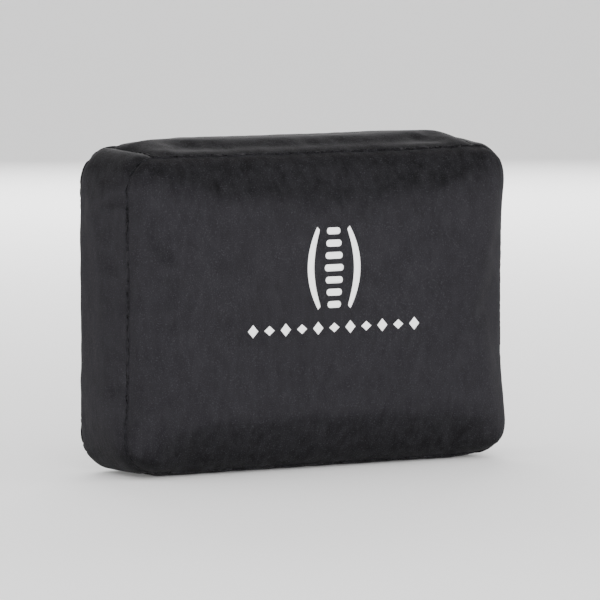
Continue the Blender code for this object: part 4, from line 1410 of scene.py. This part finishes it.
class LUMBAR_OT_straps(bpy.types.Operator):
    """Elastic strap: sewn ends, the run through the adjuster and round both bars, and its stitching"""

    bl_idname = "lumbar.straps"
    bl_label = "Elastic Strap"

    def execute(self, context):
        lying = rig.box("strap_right")[1].y - STRAP_THICKNESS / 2
        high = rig.box("strap_left")[1].y - STRAP_THICKNESS / 2
        bar_low = lying + STRAP_THICKNESS / 2 + 0.3 * MM
        bar_high = high - STRAP_THICKNESS / 2 - 0.3 * MM
        seam = HALF_WIDTH - 5.8 * MM
        dive, dive_length = 3.0 * MM, 6 * MM
        socket_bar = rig.box("buckle_socket")[0].x + BAR_HALF
        plug_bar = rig.box("buckle_plug")[1].x - BAR_HALF
        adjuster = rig.box("strap_adjuster")
        adjuster_x = (adjuster[0].x + adjuster[1].x) / 2

        def over_left(x):
            rise = (high - lying) * eased_step(x, -144 * MM, -123.5 * MM)
            return lying + rise - dive * (1 - eased_step(x, -seam, -seam + dive_length))

        def over_right(x):
            return lying - dive * eased_step(x, seam - dive_length, seam)

        path = run_of(-seam, socket_bar - 1 * MM, over_left)
        path += round_bar(socket_bar, BAR_HALF, bar_low, bar_high, 1)[::-1]
        band("elastic_left", path, "cushion", "strap_left")
        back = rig.box("strap_left_return")
        path = run_of(back[0].x, back[1].x, lambda x: lying)
        straight = band("elastic_left_return", path, "cushion", "strap_left_return")
        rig.squash(
            straight, "adjuster_slide", (1, 0, 0), (back[1].x, lying, STRAP_Z),
            keep=1 - ADJUSTER_TRAVEL / (back[1].x - back[0].x),
        )
        doubled = lying + STRAP_THICKNESS + 0.3 * MM
        centre_top = bar_low + 1.6 * MM

        def over_loop(x):
            start, top_y = adjuster_x + 2.1 * MM, centre_top + 0.9 * MM
            return top_y - (top_y - doubled) * eased_step(x, start, start + 6.5 * MM)

        path = run_of(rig.box("strap_return_loop")[1].x, adjuster_x, lambda x: lying)
        path += round_bar(adjuster_x, 1.5 * MM, bar_low, centre_top, -1)
        path += run_of(adjuster_x + 0.5 * MM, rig.box("strap_return_loop")[1].x, over_loop)
        band("elastic_return_loop", path, "adjuster", "strap_return_loop")

        def over_plug(x):
            start = plug_bar + BAR_HALF + 0.6 * MM
            return high - (high - doubled) * eased_step(x, start, start + 9 * MM)

        loop_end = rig.box("strap_right_loop")[1].x
        path = run_of(loop_end, plug_bar, lambda x: lying)
        path += round_bar(plug_bar, BAR_HALF, bar_low, bar_high, -1)
        path += run_of(plug_bar + 0.5 * MM, loop_end, over_plug)
        band("elastic_right_loop", path, "plug", "strap_right_loop")
        start = loop_end + 0.3 * MM
        right = band("elastic_right", run_of(start, seam, over_right), "cushion", "strap_right")
        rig.squash(
            right, "buckle_release", (1, 0, 0), (seam, lying, STRAP_Z),
            keep=1 - BUCKLE_TRAVEL / (seam - start),
        )
        top = doubled + STRAP_THICKNESS / 2
        sewn = box_stitch(loop_end - 15.5 * MM, loop_end - 1.6 * MM, top)
        stitches("stitch_right_loop", sewn, "plug", pitch=2.2 * MM)
        loop_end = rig.box("strap_return_loop")[1].x
        low_z, high_z = STRAP[0].z + 2.4 * MM, STRAP[1].z - 2.4 * MM
        rows = [loop_end - inset for inset in (1.6 * MM, 3.4 * MM, 5.2 * MM)]
        runs = [[(x, top, low_z), (x, top, high_z)] for x in rows]
        stitches("stitch_return_loop", runs, "adjuster", pitch=2.2 * MM)
        tack = lying + STRAP_THICKNESS / 2
        stitches("stitch_left_seam", bar_tack(-seam + 7.5 * MM, tack), "cushion", pitch=3.4 * MM)
        return {"FINISHED"}


# ---------------------------------------------------------------- buckle


class LUMBAR_OT_buckle(bpy.types.Operator):
    """Side-release buckle: socket, plug with its tongue, and the two prongs"""

    bl_idname = "lumbar.buckle"
    bl_label = "Side-Release Buckle"

    def execute(self, context):
        self.socket(*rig.box("buckle_socket"))
        self.plug(*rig.box("buckle_plug"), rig.box("buckle_socket")[1].x + 0.3 * MM)
        for name, side in (("upper", 1), ("lower", -1)):
            self.prong(name, side, *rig.box(f"buckle_prong_{name}"))
        return {"FINISHED"}

    def acetal(self, name, outline, low, high, edge=0.0):
        """A moulded solid."""
        return moulded(name, outline, low, high, "moulded_acetal", edge)

    def block(self, name, x_span, y_span, z_span, corner=0.3 * MM):
        """A box with rounded upright edges, to cut with."""
        outline = rounded_outline((x_span[0], z_span[0]), (x_span[1], z_span[1]), corner)
        return self.acetal(name, outline, *y_span)

    def frame_bar(self, bar, side, half, lying):
        """The flat end with its webbing bar, before the strap's slot is cut."""
        near, far = sorted((bar - side * (BUCKLE_FRAME + 1.5 * MM), bar + side * BAR_HALF))
        frame_low = lying + 0.3 * MM
        outline = rounded_outline((near, STRAP_Z - half), (far, STRAP_Z + half), 2.6 * MM)
        return self.acetal("frame", outline, frame_low, frame_low + 3.1 * MM, 0.75 * MM)

    def strap_slot(self, near, far, low, high):
        """Cutter for the slot that the strap passes through."""
        through = (low.y - 9 * MM, high.y + 9 * MM)
        return self.block(
            "slot", (near, far), through, (STRAP_Z - STRAP_SLOT_HALF, STRAP_Z + STRAP_SLOT_HALF), 0.9 * MM
        )

    def grip(self, body, places, top, half):
        """Shallow grooves across a face, for the fingers."""
        y_span, z_span = (top - 0.45 * MM, top + 2 * MM), (STRAP_Z - half, STRAP_Z + half)
        x_spans = [(x - 0.55 * MM, x + 0.55 * MM) for x in places]
        cuts = [self.block("groove", x_span, y_span, z_span, 0.5 * MM) for x_span in x_spans]
        return combined(body, "DIFFERENCE", *cuts)

    def socket(self, low, high):
        """A hollow shell with side windows for the prongs' buttons, thumb bites and a dished face."""
        half = (high.z - low.z) / 2
        body_x = low.x + BUCKLE_FRAME
        middle_y = (low.y + high.y) / 2
        wall = 2.5 * MM
        outline = rounded_outline((body_x, low.z), (high.x, high.z), 3.2 * MM)
        body = self.acetal("socket_shell", outline, low.y, high.y, 1.6 * MM)
        combined(body, "UNION", self.frame_bar(low.x + BAR_HALF, -1, half, low.y + STRAP_THICKNESS))
        # no two cutters share a plane, which the exact solver needs
        cuts = [
            self.strap_slot(low.x + 2 * BAR_HALF, body_x + 0.1 * MM, low, high),
            self.block(
                "cavity", (body_x + 2 * MM, high.x + 9 * MM), (middle_y - 2.9 * MM, middle_y + 2.9 * MM),
                (low.z + wall, high.z - wall),
            ),
            self.block(
                "windows", (body_x + 2.1 * MM, high.x - 4 * MM), (middle_y - 2.85 * MM, middle_y + 2.85 * MM),
                (low.z - 9 * MM, high.z + 9 * MM), 1.5 * MM,
            ),
        ]
        combined(body, "DIFFERENCE", *cuts)
        for side in (-1, 1):
            centre = (body_x + 12 * MM, STRAP_Z + side * (half + 3.6 * MM))
            bite = ellipse(centre, 8.5 * MM, 5.8 * MM)
            combined(body, "DIFFERENCE", self.acetal("bite", bite, middle_y - 9 * MM, middle_y + 9 * MM))
        low_end, high_end = (body_x + 5 * MM, STRAP_Z - 8.5 * MM), (high.x - 4.5 * MM, STRAP_Z + 8.5 * MM)
        dish = rounded_outline(low_end, high_end, 3 * MM)
        combined(body, "DIFFERENCE", self.acetal("dish", dish, high.y - 0.5 * MM, high.y + 3 * MM))
        eased(body, 0.22 * MM, 2)
        finish_piece(body, "cushion", "acetal", "buckle_socket")

    def plug(self, low, high, face_x):
        """A grooved head with a tongue between two pockets, where the prongs are rooted."""
        half = (high.z - low.z) / 2
        end_x = high.x - BUCKLE_FRAME
        middle_y = (low.y + high.y) / 2
        outline = rounded_outline((face_x, low.z), (end_x, high.z), 3.2 * MM)
        body = self.acetal("plug_shell", outline, low.y, high.y, 1.6 * MM)
        combined(body, "UNION", self.frame_bar(high.x - BAR_HALF, 1, half, low.y + STRAP_THICKNESS))
        combined(body, "DIFFERENCE", self.strap_slot(end_x - 0.1 * MM, high.x - 2 * BAR_HALF, low, high))
        for side in (-1, 1):
            z_span = sorted((STRAP_Z + side * 8.0 * MM, STRAP_Z + side * 12.3 * MM))
            y_span = (middle_y - 2.9 * MM, middle_y + 2.9 * MM)
            pocket = self.block("pocket", (face_x - 2 * MM, face_x + 7.2 * MM), y_span, z_span)
            combined(body, "DIFFERENCE", pocket)
        self.grip(body, [face_x + (5 + 2.3 * k) * MM for k in range(4)], high.y, 9 * MM)
        eased(body, 0.2 * MM, 2)
        upper = [(face_x + 1 * MM, 2.4 * MM), (low.x + 4 * MM, 2.2 * MM), (low.x, 1.0 * MM)]
        outline = [(face_x + 1 * MM, STRAP_Z - 2.4 * MM)]
        outline += [(x, STRAP_Z + z) for x, z in upper] + [(x, STRAP_Z - z) for x, z in upper[:0:-1]]
        tongue = self.acetal("tongue", outline, middle_y - 2.2 * MM, middle_y + 2.2 * MM, 0.5 * MM)
        combined(body, "UNION", tongue)
        finish_piece(body, "plug", "acetal", "buckle_plug")

    def prong(self, name, side, low, high):
        """A springy arm from a round root, out to a thumb button, and in to a rounded tip."""
        root_x, tip_x = high.x - 1.2 * MM, low.x
        arm_end = root_x - 4 * MM
        catch_x = root_x - 10.6 * MM
        points = arc((root_x, 10.8 * MM), 1.2 * MM, -90, 90, 8)
        points += [(arm_end, 12.0 * MM), (catch_x + 0.02 * MM, 12.0 * MM)]
        points += [(catch_x, 15.9 * MM), (catch_x - 1.6 * MM, 17.1 * MM)]
        points += arc((catch_x - 6.2 * MM, 9.8 * MM), 8.0 * MM, 68, 100, 6)
        points += [(catch_x - 10.6 * MM, 15.0 * MM), (catch_x - 13 * MM, 12.8 * MM)]
        points += [(tip_x, 11.4 * MM), (tip_x + 0.4 * MM, 10.0 * MM), (tip_x + 2.5 * MM, 9.6 * MM)]
        points += [(catch_x - 6 * MM, 9.9 * MM), (catch_x, 9.8 * MM), (arm_end, 9.6 * MM)]
        outline = [(x, STRAP_Z + side * z) for x, z in points]
        arm = self.acetal(f"prong_arm_{name}", outline, low.y, high.y, 0.45 * MM)
        finish_piece(arm, f"prong_{name}", "acetal", f"buckle_prong_{name}")


class LUMBAR_OT_adjuster(bpy.types.Operator):
    """Slide adjuster: two rails joined by a centre bar below and two outer bars above"""

    bl_idname = "lumbar.adjuster"
    bl_label = "Slide Adjuster"

    def execute(self, context):
        low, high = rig.box("strap_adjuster")
        middle = (low.x + high.x) / 2
        chamfer = 0.8 * MM
        shoulder = high.y - 2.2 * MM
        profile = [(low.x + chamfer, high.y), (high.x - chamfer, high.y)]
        profile += [(high.x, high.y - chamfer), (high.x, shoulder), (middle + 3.2 * MM, low.y)]
        profile += [(middle - 3.2 * MM, low.y), (low.x, shoulder), (low.x, high.y - chamfer)]
        rails = []
        for side in (-1, 1):
            near, far = sorted((STRAP_Z + side * STRAP_SLOT_HALF, STRAP_Z + side * (high.z - STRAP_Z)))
            rails.append(moulded("rail", profile, near, far, "moulded_acetal", 0.7 * MM, "Z"))
        bars = [
            ((low.x, high.y - 1.8 * MM), (low.x + 3 * MM, high.y), 0.85 * MM),
            ((high.x - 3 * MM, high.y - 1.8 * MM), (high.x, high.y), 0.85 * MM),
            ((middle - 1.5 * MM, low.y), (middle + 1.5 * MM, low.y + 1.6 * MM), 0.75 * MM),
        ]
        near, far = STRAP_Z - STRAP_HALF_WIDTH - 1.6 * MM, STRAP_Z + STRAP_HALF_WIDTH + 1.6 * MM
        pieces = [
            moulded("bar", rounded_outline(one, two, radius), near, far, "moulded_acetal", 0, "Z")
            for one, two, radius in bars
        ]
        adjuster = rails[0]
        adjuster.name = "adjuster_frame"
        combined(adjuster, "UNION", rails[1], *pieces)
        finish_piece(adjuster, "adjuster", "acetal", "strap_adjuster")
        return {"FINISHED"}


class LUMBAR_OT_label(bpy.types.Operator):
    """Blank satin care label, folded once, lying on the back below the top seam"""

    bl_idname = "lumbar.label"
    bl_label = "Care Label"

    def execute(self, context):
        low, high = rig.box("care_label")
        tree = MADE["back_panel_upper"]
        top_z = high.z - 3.2 * MM
        rows, columns = 24, 8
        bm = bmesh.new()
        grid = []
        for layer, order in ((0, range(rows + 1)), (1, range(rows, -1, -1))):
            for j in order:
                t = j / rows
                fold = 0.35 * MM if j == rows and layer else 0.0
                line = []
                for i in range(columns + 1):
                    u = i / columns
                    x = low.x + (high.x - low.x) * u + 0.5 * MM * math.sin(3 * t)
                    z = top_z + (low.z - top_z) * t - fold
                    hit = tree.ray_cast(Vector((x, 0.2, z)), Vector((0, -1, 0)))[0]
                    if hit is None:
                        raise RuntimeError("the label reaches past the back panel")
                    curl = 2.6 * MM * t**2.2 + 0.5 * MM * math.sin(5 * t) * (u - 0.5)
                    above = 0.25 * MM + curl + layer * (0.28 * MM + 0.5 * MM * t)
                    line.append(bm.verts.new((x, hit.y + above, z)))
                grid.append(line)
        for one, two in zip(grid, grid[1:]):
            for i in range(columns):
                bm.faces.new((one[i], one[i + 1], two[i + 1], two[i]))
        obj = link_mesh("satin_label", mesh_from("satin_label", bm), "satin_ribbon", smooth=0)
        thicken(obj, 0.16 * MM, 0.0)
        finish_piece(obj, "cushion", "satin", "care_label")
        return {"FINISHED"}


# ---------------------------------------------------------------- stage


def area_light(name, place, target, size, power):
    """A white softbox aimed at a target."""
    data = bpy.data.lights.new(name, "AREA")
    data.shape = "RECTANGLE"
    data.size, data.size_y = size
    data.energy = power
    light = bpy.data.objects.new(name, data)
    bpy.context.scene.collection.objects.link(light)
    light.location = place
    light.rotation_euler = (Vector(target) - Vector(place)).to_track_quat("-Z", "Y").to_euler()


def cyclorama():
    """A round pale floor that curves up into a wall far behind, the same from every side."""
    bm = bmesh.new()
    floor_radius, curve, wall_top = 6.0, 1.6, 5.0
    below = 0.4 * MM
    profile = [(1.0, 0.0), (3.0, 0.0), (floor_radius, 0.0)]
    profile += arc((floor_radius, curve), curve, -75, 0, 8)
    profile.append((floor_radius + curve, wall_top))
    angles = [math.tau * step / 64 for step in range(64)]
    rings = [[(r * math.cos(a), r * math.sin(a), height - below) for a in angles] for r, height in profile]
    loops = skin(bm, rings, caps=False)
    bm.faces.new(loops[0])
    return mesh_from("studio_floor", bm)


class LUMBAR_OT_stage(bpy.types.Operator):
    """Pale studio floor, soft lights and the camera"""

    bl_idname = "lumbar.stage"
    bl_label = "Studio"

    def execute(self, context):
        stage = context.scene.lumbar_stage
        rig.stage(link_mesh("studio_floor", cyclorama(), "studio_paper", smooth=30))
        world = bpy.data.worlds.new("studio_world")
        world.use_nodes = True
        background = world.node_tree.nodes["Background"]
        background.inputs["Color"].default_value = colour("#fbfafa")
        background.inputs["Strength"].default_value = 1.24
        context.scene.world = world
        middle = (0.0, 0.0, MID_Z)
        area_light("key_softbox", (-1.1, -2.7, 0.5), middle, (1.8, 1.4), 102)
        area_light("fill_softbox", (2.4, -1.2, 0.8), middle, (1.4, 1.4), 15)
        area_light("back_softbox", (1.3, 2.6, 1.2), middle, (2.0, 1.4), 84)
        data = bpy.data.cameras.new("camera")
        data.lens = stage.lens
        data.clip_end = 60.0
        camera = bpy.data.objects.new("camera", data)
        context.scene.collection.objects.link(camera)
        low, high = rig.bounds()
        aim = (low + high) / 2
        turn, rise = math.radians(stage.azimuth), math.radians(stage.elevation)
        back = Vector((math.sin(turn) * math.cos(rise), -math.cos(turn) * math.cos(rise), math.sin(rise)))
        camera.location = aim + back * stage.distance
        camera.rotation_euler = back.to_track_quat("Z", "Y").to_euler()
        context.scene.camera = camera
        return {"FINISHED"}


class LUMBAR_PT_panel(bpy.types.Panel):
    """Lists the operators in the order that they run"""

    bl_idname = "LUMBAR_PT_panel"
    bl_label = "Lumbar Cushion"
    bl_space_type = "VIEW_3D"
    bl_region_type = "UI"
    bl_category = "Lumbar Cushion"

    def draw(self, context):
        for operator in OPERATORS:
            self.layout.operator(operator.bl_idname)


OPERATORS = (
    LUMBAR_OT_cover,
    LUMBAR_OT_filling,
    LUMBAR_OT_print,
    LUMBAR_OT_zipper,
    LUMBAR_OT_slider,
    LUMBAR_OT_straps,
    LUMBAR_OT_buckle,
    LUMBAR_OT_adjuster,
    LUMBAR_OT_label,
    LUMBAR_OT_stage,
)
SETTINGS = {
    "lumbar_cover": CoverSettings,
    "lumbar_hardware": HardwareSettings,
    "lumbar_stage": StageSettings,
}


def register():
    for made in (*SETTINGS.values(), *OPERATORS, LUMBAR_PT_panel):
        bpy.utils.register_class(made)
    for name, group in SETTINGS.items():
        setattr(bpy.types.Scene, name, PointerProperty(type=group))


def unregister():
    for name in SETTINGS:
        delattr(bpy.types.Scene, name)
    for made in reversed((*SETTINGS.values(), *OPERATORS, LUMBAR_PT_panel)):
        bpy.utils.unregister_class(made)


def main():
    register()
    for operator in OPERATORS:
        group, name = operator.bl_idname.split(".")
        getattr(getattr(bpy.ops, group), name)()
    with open("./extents.json", "w") as file:
        json.dump({"cad": CAD_BOX, "visual": [list(corner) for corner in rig.bounds()]}, file)


if __name__ == "__main__":
    main()
